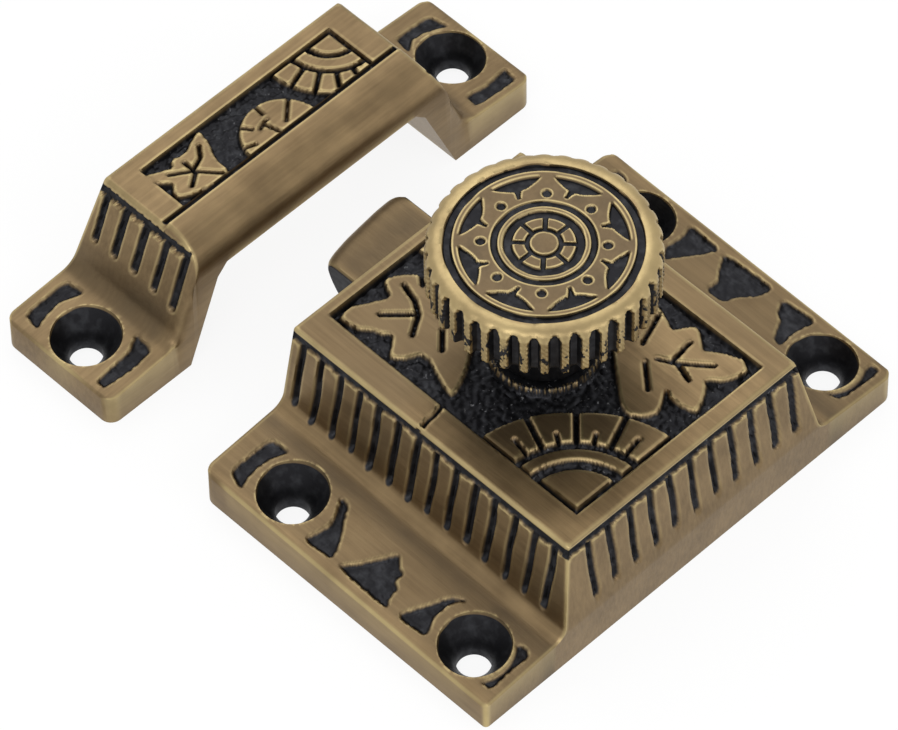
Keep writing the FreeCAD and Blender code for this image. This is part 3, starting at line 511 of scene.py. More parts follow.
def buildLatchCase():
    c = latchCase
    x0, x1 = c["plateX"]
    count, pitch, centre, _ = c["sideFlutes"]
    first = centre - (count - 1) / 2 * pitch
    step = pitch / c["perFlute"]
    low, high = math.ceil((x0 - first) / step + 0.4), math.floor((x1 - first) / step - 0.4)
    stations = np.concatenate([[x0], first + step * np.arange(low, high + 1), [x1]])
    share = (stations - x0) / (x1 - x0)
    bendLeft = smooth(1 - (stations - x0) / c["bend"])
    bendRight = smooth(1 - (x1 - stations) / c["bend"])
    ends = [np.array(caseHalfSection(x), float) for x in (x0, x1)]
    rows = len(ends[0])
    topHalf = ends[0][-1, 0]
    ytop = np.linspace(topHalf, -topHalf, 162)[1:-1]

    def place(station, sign, y=None):
        a, b = ends[0][station], ends[1][station]
        z = a[1] + (b[1] - a[1]) * share
        if y is None:
            yy, kind = (a[0] + (b[0] - a[0]) * share) * sign, int(a[4])
            normal = np.array((a[2] * sign, a[3])) / math.hypot(a[2], a[3])
        else:
            yy, kind, normal = np.full(len(stations), y), 5, (0.0, 1.0)
        rear = np.maximum(x0, c["frameX"] - c["rearLean"] * (c["top"] - z))
        inset = []
        for r in (c["frontCorner"] if sign > 0 else c["corner"], c["corner"]):
            over = np.clip(np.abs(yy) - (c["halfWidth"] - r), 0, r)
            inset.append(r - np.sqrt(np.maximum(r * r - over * over, 0)))
        left, right = rear + inset[0], x1 - inset[1]
        x = stations + (left - x0) * bendLeft + (right - x1) * bendRight
        deep = np.zeros(len(stations))
        if kind == 1:
            deep = -flangeRelief(x, yy, sign)[0]
        if kind in (2, 3):
            deep = wallCarving(x, z, sign)[0]
            # the strip over the flutes stands a little proud, and the joint runs down through it
            strip = smooth((z - 13.2) / 1.0) * (1 - smooth((z - 14.3) / 0.3))
            deep = deep - 0.09 * strip * (1 - smooth(deep / 0.15))
            if sign > 0:
                joint = 1 - smooth((np.abs(x - 3.8) - 0.12) / 0.25)
                deep = np.maximum(deep, 0.5 * joint * smooth((z - 13.4) / 0.8))
        if kind == 5:
            deep = -topRelief(x, yy)[0]
        if kind > 0:
            fade = smooth(np.minimum(x - left, right - x) / 0.35)
            deep = deep * fade + 0.13 * (1 - fade)
            deep = deep + 0.035 * (ripple(x, yy + z, 3) + 0.6) * fade
        return np.stack([x, yy - deep * normal[0], z - deep * normal[1]], 1)

    plus = [place(i, 1) for i in range(rows)]
    minus = [place(i, -1) for i in range(rows)]
    middle = [place(rows - 1, 1, y) for y in ytop]
    s = Skin()
    s.grid(plus + middle + minus[::-1])
    coveStart = 5 + c["flangeRows"]

    def between(a, b):
        # points from one corner to the other, spaced as on the top
        t = ((ytop - ytop[0]) / (ytop[-1] - ytop[0]) * 2 - 1) * abs(ytop[0]) / topHalf
        return a[None] + (b - a)[None] * ((t + 1) / 2)[:, None]

    def flangeEnd(strip, e):
        return np.array([row[e] for row in strip[1:coveStart + 1]])

    def onFloor(points):
        return points * (1, 1, 0)

    def floorEnd(e):
        wall = between(plus[coveStart][e], minus[coveStart][e])
        return onFloor(np.vstack([flangeEnd(plus, e)[1:], wall, flangeEnd(minus, e)[::-1][:-1]]))

    for e in (0, -1):
        wall = []
        for i in range(coveStart, rows):
            a, b = plus[i][e], minus[i][e]
            row = between(a, b)
            if i == rows - 1:
                row = np.array([m[e] for m in middle])
            elif e == 0:
                y, z = row[:, 1], row[:, 2]
                deep = wallCarving(y, z, 0)[0]
                deep = deep * smooth((z - 5.6) / 0.5) * smooth((abs(a[1]) - np.abs(y)) / 0.3)
                row[:, 0] += deep
                row[:, 2] -= deep * c["rearLean"]
            wall.append(np.vstack([a[None], row, b[None]]))
        s.grid(wall, flip=e == 0)
        s.grid([onFloor(wall[0]), wall[0]], flip=e == 0)
        for side, strip in ((1, plus), (-1, minus)):
            line = flangeEnd(strip, e)
            s.grid([onFloor(line), line], flip=(e == 0) == (side > 0))
    s.polygon(np.vstack([plus[0][::-1], floorEnd(0), minus[0], floorEnd(-1)[::-1]]))
    piece = s.build("latchCaseCast")
    print("case skin:", len(piece.data.polygons), "faces")
    return piece


def caseHoles():
    c = latchCase
    cutters = [blockCutter(*box) for box in c["cavity"]] + [turnedCutter(2.3, 0, [(3.55, 0), (3.55, 20)])]
    for sx in (1, -1):
        for sy in (1, -1):
            x, y = sx * c["holes"][0], sy * c["holes"][1]
            z = caseEdge(x) + c["slope"] * (c["halfWidth"] - c["holes"][1])
            cutters.append(sinkCutter(x, y, z, c["holeR"], c["sinkR"]))
            front, back, across = c["plateScrews"]
            cutters.append(turnedCutter(front if sx > 0 else back, sy * across, [(0.85, 5), (0.85, 11.5)], 24))
    return cutters


def sinkPatina(x, y, under, hole, mouth, half):
    # patina inside the countersinks; x and y are folded onto one hole, under is the depth below the face
    near = (np.hypot(x - hole[0], y - hole[1]) < mouth + 0.05) & (y < half - 0.1)
    return near * smooth((under - 0.1) / 0.2)


def paintCase(piece):
    c = latchCase
    x, y, z = meshPoints(piece).T
    wing = np.abs(y)
    dark = np.zeros(len(x))

    def cover(where, patina):
        dark[where] = np.maximum(dark[where], patina)

    top = (z > c["top"] - 1.6) & (x > -17.3) & (wing < 16.2)
    cover(top, topRelief(x[top], y[top])[1])
    for side in (1, -1):
        flange = (y * side > 19.5) & (z > 2.5)
        cover(flange, flangeRelief(x[flange], y[flange], side)[1])
        wall = (y * side > 16.3) & (y * side < 20.6) & (z > 4) & (x > -18.6)
        toeShift = 0.22 * smooth((8.0 - z[wall]) / 1.6)
        cover(wall, wallCarving(x[wall], z[wall], side, toeShift)[1])
    rear = (x < -17.0) & (z > 5.5) & (wing < 18)
    cover(rear, wallCarving(y[rear], z[rear], 0)[1])
    level = caseEdge(x) + c["slope"] * (c["halfWidth"] - wing)
    cover(x < 1e9, sinkPatina(np.abs(x), wing, level - z, c["holes"], c["sinkR"], c["halfWidth"]))
    # painted shade: the inside of the case, under its top, is darkened
    inside = (x > -17) & (x < 20.6) & (wing < 15.1) & (z < 13)
    paint(piece, np.maximum(dark, inside * 0.8))
    # painted glints on the sunk ground, strongest round the boss
    lit = 0.4 + 0.6 * smooth((11 - np.hypot(x - 0.5, y - 2)) / 4)
    paint(piece, ((z > 14) & (wing < 13.5)) * lit, "glitter")
    cloudy = 0.5 + 0.5 * ripple(x * 1.4, y * 1.4, 7)
    # painted shade on the flanges: darkest along the foot of the wall, mottled, lighter toward the outer edge
    grime = 0.7 * smooth((23.8 - wing) / 3.8) * smooth((wing - 19.6) / 1.2)
    grime = grime + (0.35 + 0.3 * cloudy) * smooth((wing - 19.4) / 2)
    grime = grime * (z < 9) * (1 - 0.6 * smooth((wing - 28.3) / 1.2))
    # also darker over the panel's area, at every height
    grime = grime + 0.22 * ((wing < 14) & (np.abs(x - 2.8) < 18) & (x > -4))
    # painted shade on the top frame: darker toward the bolt end and along the side at negative y
    frame = np.maximum(smooth((x - 4) / 4), 0.6 * smooth(-y - 12.5))
    frame = (0.45 + 0.3 * cloudy) * (z > 15) * frame
    paint(piece, highest(grime, 0.2 * cloudy * (wing > 19), frame), "grime")


# Materials

class Graph:
    # short calls for the nodes of a material, a world or a geometry tree
    def __init__(self, tree):
        self.tree, self.link = tree, tree.links.new

    def node(self, kind, inputs={}, **settings):
        node = self.tree.nodes.new(kind)
        for name, value in settings.items():
            setattr(node, name, value)
        for at, value in inputs.items():
            socket = node.inputs[at]
            if isinstance(value, bpy.types.NodeSocket):
                self.link(value, socket)
            else:
                socket.default_value = (*value, 1) if socket.type == "RGBA" else value
        return node

    def maths(self, kind, a, b):
        return self.node("ShaderNodeMath", {0: a, 1: b}, operation=kind).outputs[0]

    def plus(self, a, b):
        return self.maths("ADD", a, b)

    def times(self, a, b):
        return self.maths("MULTIPLY", a, b)

    def mix(self, factor, a, b):
        return self.node("ShaderNodeMix", {0: factor, 6: a, 7: b}, data_type="RGBA").outputs[2]

    def noise(self, stretch, scale, detail):
        coord = self.node("ShaderNodeTexCoord").outputs["Object"]
        place = self.node("ShaderNodeMapping", {"Vector": coord, "Scale": stretch}).outputs[0]
        return self.node("ShaderNodeTexNoise", {"Vector": place, "Scale": scale, "Detail": detail}).outputs["Fac"]

    def ramp(self, source, *stops):
        ramp = self.node("ShaderNodeValToRGB", {0: source})
        for element, (at, v) in zip(ramp.color_ramp.elements, stops):
            element.position, element.color = at, (v, v, v, 1)
        return ramp.outputs[0]

    def painted(self, name):
        return self.node("ShaderNodeAttribute", attribute_name=name).outputs["Fac"]

    def metal(self, colour, rough, height, strength, distance):
        bump = self.node("ShaderNodeBump", {"Strength": strength, "Distance": distance, "Height": height})
        shader = self.node("ShaderNodeBsdfPrincipled", {
            "Base Color": colour, "Roughness": rough, "Metallic": 1.0, "Normal": bump.outputs[0]})
        self.node("ShaderNodeOutputMaterial", {0: shader.outputs[0]})


def newGraph(owner):
    owner.use_nodes = True
    owner.node_tree.nodes.clear()
    return Graph(owner.node_tree)


even = (1, 1, 1)
antiqueBrass = {
    "worn": (0.322, 0.226, 0.117), "dull": (0.19, 0.131, 0.069), "edge": (0.58, 0.46, 0.225),
    "tarnish": (0.105, 0.077, 0.048), "patina": (0.027, 0.027, 0.03), "patinaSheen": (0.052, 0.053, 0.058),
    "glint": (0.42, 0.42, 0.43), "bump": (0.35, 0.00006),
}


def antiqueBrassFinish(name, brush, warmth=1.0, pitted=False):
    # brushed brass on what stands proud, bright worn edges, near-black patina in what lies sunk
    c = antiqueBrass
    mat = bpy.data.materials.new(name)
    g = newGraph(mat)
    warm = {k: tuple(v * warmth for v in c[k]) for k in ("worn", "dull", "edge", "tarnish")}
    cloud, streak, pits = g.noise(even, 220, 4), g.noise(brush, 1, 4), g.noise(even, 900, 2)
    fine = g.noise(tuple(v * 3.1 for v in brush), 1, 3)
    spread = g.plus(g.times(streak, 0.38), g.times(cloud, 0.62))
    metal = g.mix(g.ramp(spread, (0.34, 0), (0.68, 1)), warm["dull"], warm["worn"])
    ground = g.mix(g.ramp(pits, (0.45, 0), (0.75, 1)), c["patina"], c["patinaSheen"])
    # painted glints: light specks on the sunk ground
    specks = g.ramp(g.noise(even, 2300, 2), (0.66, 0), (0.73, 0.6))
    ground = g.mix(g.times(specks, g.painted("glitter")), ground, c["glint"])
    uneven = g.ramp(cloud, (0.3, 0.55), (0.7, 0.95))
    # painted shade and tarnish darken the metal
    metal = g.mix(g.times(g.painted("tarnish"), uneven), metal, warm["tarnish"])
    metal = g.mix(g.times(g.painted("wear"), uneven), metal, warm["edge"])
    covered = g.plus(g.painted("patina"), g.times(g.plus(cloud, -0.5), 0.3))
    if pitted:
        holes = g.ramp(g.noise((1, 1, 0.6), 1500, 2), (0.5, 0), (0.62, 0.9))
        covered = g.plus(covered, g.times(holes, g.painted("pitting")))
    hide = g.ramp(covered, (0.34, 0), (0.66, 1))
    rough = g.plus(g.plus(g.times(fine, 0.16), 0.34), g.times(hide, 0.08))
    height = g.plus(g.times(fine, 0.7), g.times(pits, 0.5))
    g.metal(g.mix(hide, metal, ground), rough, height, *c["bump"])
    return mat


def steelFinish(name, base, rough):
    mat = bpy.data.materials.new(name)
    g = newGraph(mat)
    cloud = g.noise(even, 500, 4)
    colour = g.mix(cloud, tuple(v * 0.7 for v in base), base)
    g.metal(colour, g.plus(g.times(cloud, 0.2), rough), g.noise(even, 1500, 2), 0.2, 0.00004)
    return mat


caseBrass = antiqueBrassFinish("antiqueBrassCase", (90, 2600, 900))
knobBrass = antiqueBrassFinish("antiqueBrassKnob", (700, 700, 500), 1.12, True)
keeperBrass = antiqueBrassFinish("antiqueBrassKeeper", (2400, 110, 1200))
boltBrass = antiqueBrassFinish("brushedBoltBrass", (160, 1500, 600), 0.9)
darkSteel = steelFinish("darkSteel", (0.12, 0.115, 0.11), 0.35)
screwSteel = steelFinish("screwSteel", (0.4, 0.39, 0.37), 0.28)


def dress(piece, mat):
    piece.data.materials.clear()
    piece.data.materials.append(mat)
    for poly in piece.data.polygons:
        poly.material_index = 0


case = carve(buildLatchCase(), caseHoles())
paintCase(case)
finishSurface(case)
dress(case, caseBrass)
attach(case, "case")
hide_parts("latch_case")
print("latch case carved:", len(case.data.polygons), "faces")


# Knob: turned neck, fluted head and carved top as one skin round its axis

knobForm = {
    "x": 2.3, "foot": 16.65, "top": 33.1, "radius": 12.25, "bore": (3.5, 24.0),
    "flutes": 36, "fluteWidth": 1.32, "fluteDepth": 0.75, "archTop": 32.75, "arcSteps": 12,
    "ring": (9.45, 10.25), "grooves": ((4.8, 5.4, 0.3), (3.3, 4.15, 0.34), (1.5, 1.95, 0.3)), "deep": 0.42,
    "scallop": (8.7, 7.2, 6.35), "dots": (6.45, 0.45), "turn": -2.5, "spoke": 0.24, "carvedTo": 10.4,
    "edge": [(10.8, 33.07), (11.2, 33.02), (11.5, 32.92), (11.75, 32.78), (11.98, 32.55), (12.12, 32.25)],
    "neck": [(11.2, 26.92), (9.6, 26.8), (8.5, 26.5), (7.4, 25.6), (6.5, 24.5), (5.7, 23.4), (5.15, 22.4),
             (4.95, 21.2), (4.9, 19.6), (4.95, 18.4), (5.05, 17.4), (5.1, 16.9), (5.0, 16.65)],
}


def bumpBetween(r, low, high, soft=0.12):
    return smooth((r - low) / soft + 0.5) * (1 - smooth((r - high) / soft + 0.5))


def knobTopRelief(r, a):
    # depth of the carving on the knob's top at radius r and angle a, and its patina
    c = knobForm
    wave = 0.03 * np.sin(a * 5 + 1) + 0.02 * np.sin(a * 11)
    deep = c["deep"] * bumpBetween(r + wave, *c["ring"])
    for low, high, depth in c["grooves"]:
        deep = np.maximum(deep, depth * bumpBetween(r + wave * 0.4, low, high))
    sector = (a - math.radians(c["turn"])) / (math.pi / 4)
    near = (sector - np.round(sector)) * math.pi / 4
    spoke = bumpBetween(np.abs(near) * r, -1, c["spoke"], 0.16) * bumpBetween(r, 1.8, 3.6)
    deep = np.maximum(deep, 0.3 * spoke)
    at, size = c["dots"]
    dot = np.hypot(r * np.cos(near) - at, r * np.sin(near))
    deep = np.maximum(deep, 0.3 * (1 - smooth((dot - size + 0.08) / 0.16)))
    index = np.floor(sector)
    local = (sector - index - 0.5) * 2
    lean = 0.10 * np.sin(np.mod(index, 8) * 2.1 + 0.5)
    outer, inner, spike = c["scallop"]
    share = np.clip(np.abs(local) / 0.8, 0, 1)
    base = outer - (outer - inner) * (1 - share ** 2.1)
    inside = np.minimum(r - base, outer - r)
    inside = np.where(np.abs(local) < 0.8, inside, -1)
    tail = np.clip((r - spike) / (inner + 0.3 - spike), 0, 1)
    across = np.abs(local - lean - 0.12 * (1 - tail)) * math.pi / 8 * r
    stem = np.minimum(0.17 + 0.3 * tail ** 1.5 - across, np.minimum(r - spike, inner + 0.3 - r) + 0.1)
    return np.maximum(deep, 0.36 * smooth(np.maximum(inside, stem) / 0.16 + 0.3))


def knobFlute(a, along):
    # depth of the flutes round the rim; along is the height, carried on over the rounded edge
    c = knobForm
    pitch = 2 * math.pi / c["flutes"]
    index = np.round(a / pitch)
    vary = np.random.default_rng(21).random((c["flutes"] + 1, 3))[index.astype(int) % c["flutes"]]
    half = c["fluteWidth"] / 2 * (0.9 + 0.2 * vary[..., 0])
    off = np.abs(a - index * pitch) * c["radius"]
    top = c["archTop"] - half * 2 + 0.35 * (vary[..., 1] - 0.5)
    gap = half - np.where(along > top, np.hypot(off, (along - top) * 0.5), off)
    return c["fluteDepth"] * (0.9 + 0.15 * vary[..., 2]) * smooth(gap / 0.3 + 0.15)


def buildKnob():
    c = knobForm
    n = c["flutes"] * c["arcSteps"]
    a = np.arange(n) * 2 * math.pi / n
    ca, sa = np.cos(a), np.sin(a)
    s = Skin()
    rows = []

    def ring(r, z):
        rows.append(np.stack([c["x"] + r * ca, r * sa, z], 1))

    for r in np.concatenate([np.linspace(0.25, 5.6, 50), np.linspace(5.72, 10.4, 42)]):
        rr = np.full(n, r)
        ring(rr, c["top"] - 0.02 - knobTopRelief(rr, a) - 0.03 * (1 + ripple(r * ca, r * sa, 5)))
    # the flutes' height runs on over the rounded edge, measured along it from where the rim is upright
    edge, last = c["edge"], (c["carvedTo"], c["top"])
    rimTop = edge[-1][1]
    along = rimTop + sum(math.dist(a, b) for a, b in zip(edge, edge[1:])) + math.dist(last, edge[0])
    scallop = (1 + np.cos(a * c["flutes"])) / 2
    for r, z in edge + [(12.18, v) for v in np.arange(32.0, 27.15, -0.17)] + [(12.12, 27.05), (12.0, 26.95)]:
        overEdge = z > rimTop - 0.05
        along -= math.dist((r, z), last) if overEdge else 0
        last = (r, z)
        deep = knobFlute(a, np.full(n, along if overEdge else z))
        notch = 0.10 * scallop * smooth((r - 11.0) / 0.6)
        rough = 0.05 * np.sin(a * 151 + z * 9) * smooth((32.0 - z) / 0.8) * (deep < 0.1)
        tilt = smooth((c["top"] - z) / 0.9)
        ring(r - deep * (0.35 + 0.65 * tilt) - notch + rough - 0.02, z - deep * (1 - tilt) * 0.6)
    bore, deepest = c["bore"]
    for r, z in c["neck"] + [(bore, c["foot"]), (bore, deepest)]:
        ring(np.full(n, r), np.full(n, z))
    s.grid(rows, closed=True)
    s.polygon(rows[0], flip=True)
    s.polygon(rows[-1])
    piece = s.build("knobCast", 0.0005)
    x, y, z = meshPoints(piece).T
    r, angle = np.hypot(x - c["x"], y), np.arctan2(y, x - c["x"])
    onTop = (r < 10.5) & (z > 32)
    dark = np.where(onTop, smooth((knobTopRelief(r, angle) - 0.07) / 0.2), 0)
    side = (r > 10.5) & (z > 26.9)
    rimR, rimTop = c["edge"][-1]
    overEdge = rimTop + np.hypot(r - rimR, z - rimTop)
    flute = knobFlute(angle, np.where(z > rimTop - 0.05, overEdge, z))
    # painted shadow: the neck and the underside of the head, below the fluted rim, are fully darkened
    dark = highest(dark, side * smooth((flute - 0.12) / 0.3), (z < 26.95) & (r < 11.3))
    paint(piece, side * (0.25 + 0.75 * smooth((31.6 - z) / 2.6)) * (z < 32.4), "pitting")
    paint(piece, dark)
    paint(piece, side * (1 - dark), "bright")
    # the top face inside the ring groove is darkened
    paint(piece, np.where(onTop & (r < 9.9), 1.0, 0), "grime")
    return piece


knob = buildKnob()
finishSurface(knob, 40)
dress(knob, knobBrass)
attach(knob, "knob")
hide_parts("knob")
print("knob skin:", len(knob.data.polygons), "faces")


# Keeper: strap on two feet with a rounded bar, carved bridge and fluted legs

keeperForm = {
    "x": (35.6, 51.8), "y": -0.4, "half": 31.2, "foot": 4.0, "footRise": 0.08, "legFoot": 21.6,
    "legTop": 17.1, "legLean": 0.40, "footRound": 0.35, "crestRound": 0.3, "legRound": 1.2, "cove": 2.2,
    "top": 16.0, "underside": 12.4, "backLean": 0.10, "corner": 1.4, "legThick": 3.9, "mouthRound": 1.4,
    "barIn": 41.5, "barTop": 16.4, "barLow": 12.8, "hole": (43.7, 27.1, 1.85, 3.9),
    "flutes": (5, 3.0, 43.6), "flute": (7.9, 14.3, 0.95, 0.55), "groove": (14.2, 15.25, 0.42),
    "panel": [(48.7, 13.3), (42.1, 13.3), (42.1, -14.2), (48.7, -14.2)], "panelDepth": 0.85,
}
keeperLeaf = [(47.9, 13.4), (47.2, 11.9), (46.6, 10.6), (47.6, 10.1), (47.1, 8.5), (47.8, 7.0), (48.5, 5.1),
              (46.3, 5.6), (44.4, 6.6), (42.3, 6.6), (42.0, 7.6), (42.1, 9.6), (42.5, 11.4), (43.4, 13.1),
              (44.4, 12.7), (45.1, 12.0), (46.0, 13.0), (47.0, 13.5)]
keeperVeins = [[(46.2, 11.6), (44.8, 9.4), (42.4, 7.4)], [(44.9, 9.3), (45.6, 7.6), (46.9, 6.6)],
               [(44.6, 9.2), (43.4, 10.9)], [(44.8, 9.3), (46.3, 9.3)]]
keeperFootCuts = [
    [(50.4, 28.9), (50.4, 23.2), (47.9, 22.9), (49.0, 25.4), (48.8, 27.7), (48.2, 29.4)],
    [(38.6, 29.7), (37.5, 29.6), (37.1, 25.7), (37.4, 23.1), (39.9, 22.8), (38.9, 24.7), (38.7, 28.2)],
    [(49.6, -29.7), (47.1, -30.3), (48.3, -27.8), (48.4, -26.1), (47.3, -24.5), (49.6, -24.8)],
    [(38.6, -30.4), (36.7, -30.1), (36.7, -26.9), (36.8, -24.4), (38.5, -24.5), (38.1, -27.2)],
]


def keeperBarTop(x):
    c = keeperForm
    t = np.clip((x - c["x"][0]) / (c["barIn"] - c["x"][0]), 0, 1)
    # quarter of an oval from the front face up to the bar's inner edge
    return c["barLow"] + (c["barTop"] - c["barLow"]) * np.sqrt(np.maximum(1 - (1 - t) ** 2.2, 0))


def keeperTopRelief(x, y):
    c = keeperForm
    panel = -outlineDistance(x, y, c["panel"])
    raised = 0.6 * ragged(x, y) - outlineDistance(x, y, softCorners(keeperLeaf, 0.22))
    for path in keeperVeins:
        raised = np.minimum(raised, pathDistance(x, y, path) - 0.2)
    # half disc against the bar with a short T cut into it
    r = np.hypot((x - 41.6) * 0.95, y + 0.9)
    angle = np.arctan2(x - 41.6, y + 0.9)
    disc = 4.7 - r
    for at, low, high in ((0.35, 3.2, 5), (0.95, 3.3, 5), (1.62, 3.3, 5), (2.4, 1.6, 5)):
        disc = np.minimum(disc, highest(np.abs(angle - at) * r - 0.17, low - r, r - high))
    disc = np.minimum(disc, np.maximum(np.abs(angle - 1.3) * r - 0.16, r - 2.6))
    disc = np.minimum(disc, np.maximum(np.abs(r - 2.6) - 0.16, np.abs(angle - 1.3) - 0.32))
    raised = np.maximum(raised, disc)
    # quarter fan in the far corner
    dx, dy = 48.5 - x, y + 14.0
    r, inner = np.hypot(dx, dy), np.minimum(dx, dy)
    share = np.arctan2(dx, dy) / (math.pi / 2) * 5
    gap = np.abs(share - np.round(share)) * r * (math.pi / 10)
    blocks = lowest(8.5 - r, r - 5.85, inner - 0.2, gap - 0.24)
    band = lowest(5.3 - r, r - 3.75, inner - 0.2)
    raised = highest(raised, np.minimum(3.1 - r, inner - 0.3), band, blocks)
    open_ = np.minimum(panel, -raised)
    groove = 0.26 - np.abs(x - c["barIn"] - 0.26)
    ground = c["panelDepth"] - 0.2 * pebbles(x + 3.3, y, 0.55)
    depth = ground * smooth(open_ / 0.36 + 0.3) + 0.05 * smooth(panel / 0.3)
    depth = np.maximum(depth, 0.62 * smooth(groove / 0.3 + 0.5))
    return depth, np.clip(np.maximum(open_ / 0.55 + 0.42, groove / 0.4 + 0.6), 0, 1)


def keeperLegDepth(x, y, z):
    c = keeperForm
    low, high, width, deep = c["flute"]
    count, pitch, centre = c["flutes"]
    index = np.clip(np.round((x - centre) / pitch), -(count // 2), count // 2)
    vary = np.random.default_rng(9).random((2, count, 3))
    vary = vary[(y > 0).astype(int), (index + count // 2).astype(int)]
    off = np.abs(x - centre - index * pitch - 0.2 * (vary[..., 0] - 0.5))
    toe = low + 1.1 * (vary[..., 1] - 0.3)
    half = width / 2 * (0.9 + 0.2 * vary[..., 2])
    reach = np.where(z < toe + half, np.hypot(off, toe + half - z), off)
    flute = np.minimum(half - reach, high + 0.3 - z)
    g0, g1, gd = c["groove"]
    uneven = 0.10 * np.sin(x * 5.1) + 0.07 * np.sin(x * 11.3 + 1)
    groove = lowest(z - g0 - uneven, g1 + 0.5 * uneven - z, x - 37.2)
    depth = np.maximum(deep * smooth(flute / 0.4 + 0.3), gd * smooth(groove / 0.25 + 0.4))
    return depth, np.clip(np.maximum(flute / 0.5 + 0.5, groove / 0.4 + 0.5), 0, 1)


def keeperFootDepth(x, y):
    c = keeperForm
    cut = np.full(np.shape(x), -9.0)
    for outline in keeperFootCuts:
        cut = np.maximum(cut, 0.7 * ragged(x, y) - outlineDistance(x, y, softCorners(outline, 0.12)))
    hx, hy, _, mouth = c["hole"]
    cut = np.minimum(cut, np.hypot(x - hx, np.abs(y - c["y"]) - hy) - mouth - 0.5)
    ground = 0.5 - 0.1 * pebbles(x, y, 0.5)
    return smooth(cut / 0.4 + 0.4) * ground, np.clip(cut / 0.6 + 0.5, 0, 1)


def buildKeeper():
    c = keeperForm
    half, foot, rise = c["half"], c["foot"], c["footRise"]
    lean, round_, lip = c["legLean"], c["footRound"], c["crestRound"]
    corner = np.array((c["legFoot"], foot + rise * (half - c["legFoot"])))
    start, end, cove = coveArc(corner, rise, lean, c["cove"], 7)
    inner = 170
    grid = []
    for share in np.linspace(0, 1, 100):
        xMid = c["x"][0] + (c["x"][1] - c["x"][0]) * share
        crest = float(np.where(xMid < c["barIn"] + 0.2, keeperBarTop(xMid), c["top"]))
        side = [(half, 0, 1, 0, 0)] + edgeArc(half - round_, foot - round_, round_, round_, 3, 0)
        for t in np.linspace(0, 1, 38)[1:]:
            y = half - round_ + (start[0] - half + round_) * t
            side.append((y, foot + rise * (half - y), rise, 1, 1))
        side += cove
        for z in np.linspace(end[1], crest - lip, 56)[1:]:
            side.append((c["legTop"] + lean * (c["top"] - z), z, 1, lean, 3))
        edge = c["legTop"] + lean * (c["top"] - crest) - lip
        part = np.array(side + edgeArc(edge, crest - lip, lip, lip, 2, 4, 1))
        spread = np.linspace(1, -1, inner + 2)[1:-1] * edge
        bridge = np.stack([spread, np.full(inner, crest), np.zeros(inner), np.ones(inner), np.full(inner, 5)], 1)
        y, z, ny, nz, kind = np.vstack([part, bridge, part[::-1] * (-1, 1, -1, 1, 1)]).T
        over = np.clip(np.abs(y) - (half - c["corner"]), 0, c["corner"])
        inset = c["corner"] - np.sqrt(np.maximum(c["corner"] ** 2 - over ** 2, 0))
        left = c["x"][0] + inset
        right = c["x"][1] - inset - c["backLean"] * np.clip(z - foot, 0, 20)
        x = left + (right - left) * share
        yy = y + c["y"]
        length = np.hypot(ny, nz)
        ny, nz = ny / length, nz / length
        onTop, onLeg, onFoot = kind == 5, (kind == 2) | (kind == 3), kind == 1
        deep = np.zeros(len(y))
        deep[onTop] = keeperTopRelief(x[onTop], yy[onTop])[0]
        deep[onLeg] = keeperLegDepth(x[onLeg], yy[onLeg], z[onLeg])[0]
        deep[onFoot] = keeperFootDepth(x[onFoot], yy[onFoot])[0]
        fade = smooth(np.minimum(x - left, right - x) / 0.35)
        # the legs' front edges are rounded, less so toward the bar
        r = c["legRound"]
        gap = np.maximum(r - (x - left), 0)
        rounding = (r - np.sqrt(np.maximum(r ** 2 - gap ** 2, 0))) * onLeg
        rounding = rounding * smooth((np.abs(ny) - 0.45) / 0.4) * smooth((crest - lip - z) / 5.2)
        uneven = 0.03 * (ripple(x, yy + z, 4) + 0.7)
        deep = np.where(kind > 0, rounding + deep * fade + 0.11 * (1 - fade) + uneven * fade, 0)
        grid.append(np.stack([x, yy - deep * ny, z - deep * nz], 1))
    s = Skin()
    s.grid(grid, flip=True)
    under = {e: grid[e][1:-1] * (1, 1, 0) for e in (0, -1)}
    for e in (0, -1):
        s.grid([under[e], grid[e][1:-1]], flip=e == 0)
    first, last = [g[0] for g in grid], [g[-1] for g in grid]
    s.polygon(first + list(under[-1][1:-1]) + last[::-1] + list(under[0][::-1][1:-1]))
    piece = s.build("keeperCast")
    print("keeper skin:", len(piece.data.polygons), "faces")
    return piece


def keeperHoles():
    c = keeperForm
    low = c["underside"] - c["mouthRound"]

    def inside(z):
        return c["legTop"] + c["legLean"] * (c["top"] - z) - c["legThick"]

    outline = [(inside(-1), -1), (inside(low), low), (inside(low) - c["mouthRound"], c["underside"])]
    outline = outline + [(-y, z) for y, z in reversed(outline)]
    mouth = Skin()
    n = len(outline)
    for x in (30, 60):
        mouth.add([(x, y + c["y"], z) for y, z in outline])
    mouth.faces = [tuple(range(n)), tuple(range(2 * n - 1, n - 1, -1))]
    mouth.faces += [(i, i + n, (i + 1) % n + n, (i + 1) % n) for i in range(n)]
    cutters = [mouth.build("cutter")]
    hx, hy, r, sink = c["hole"]
    z = c["foot"] + c["footRise"] * (c["half"] - hy)
    for side in (1, -1):
        cutters.append(sinkCutter(hx, c["y"] + side * hy, z, r, sink))
    return cutters


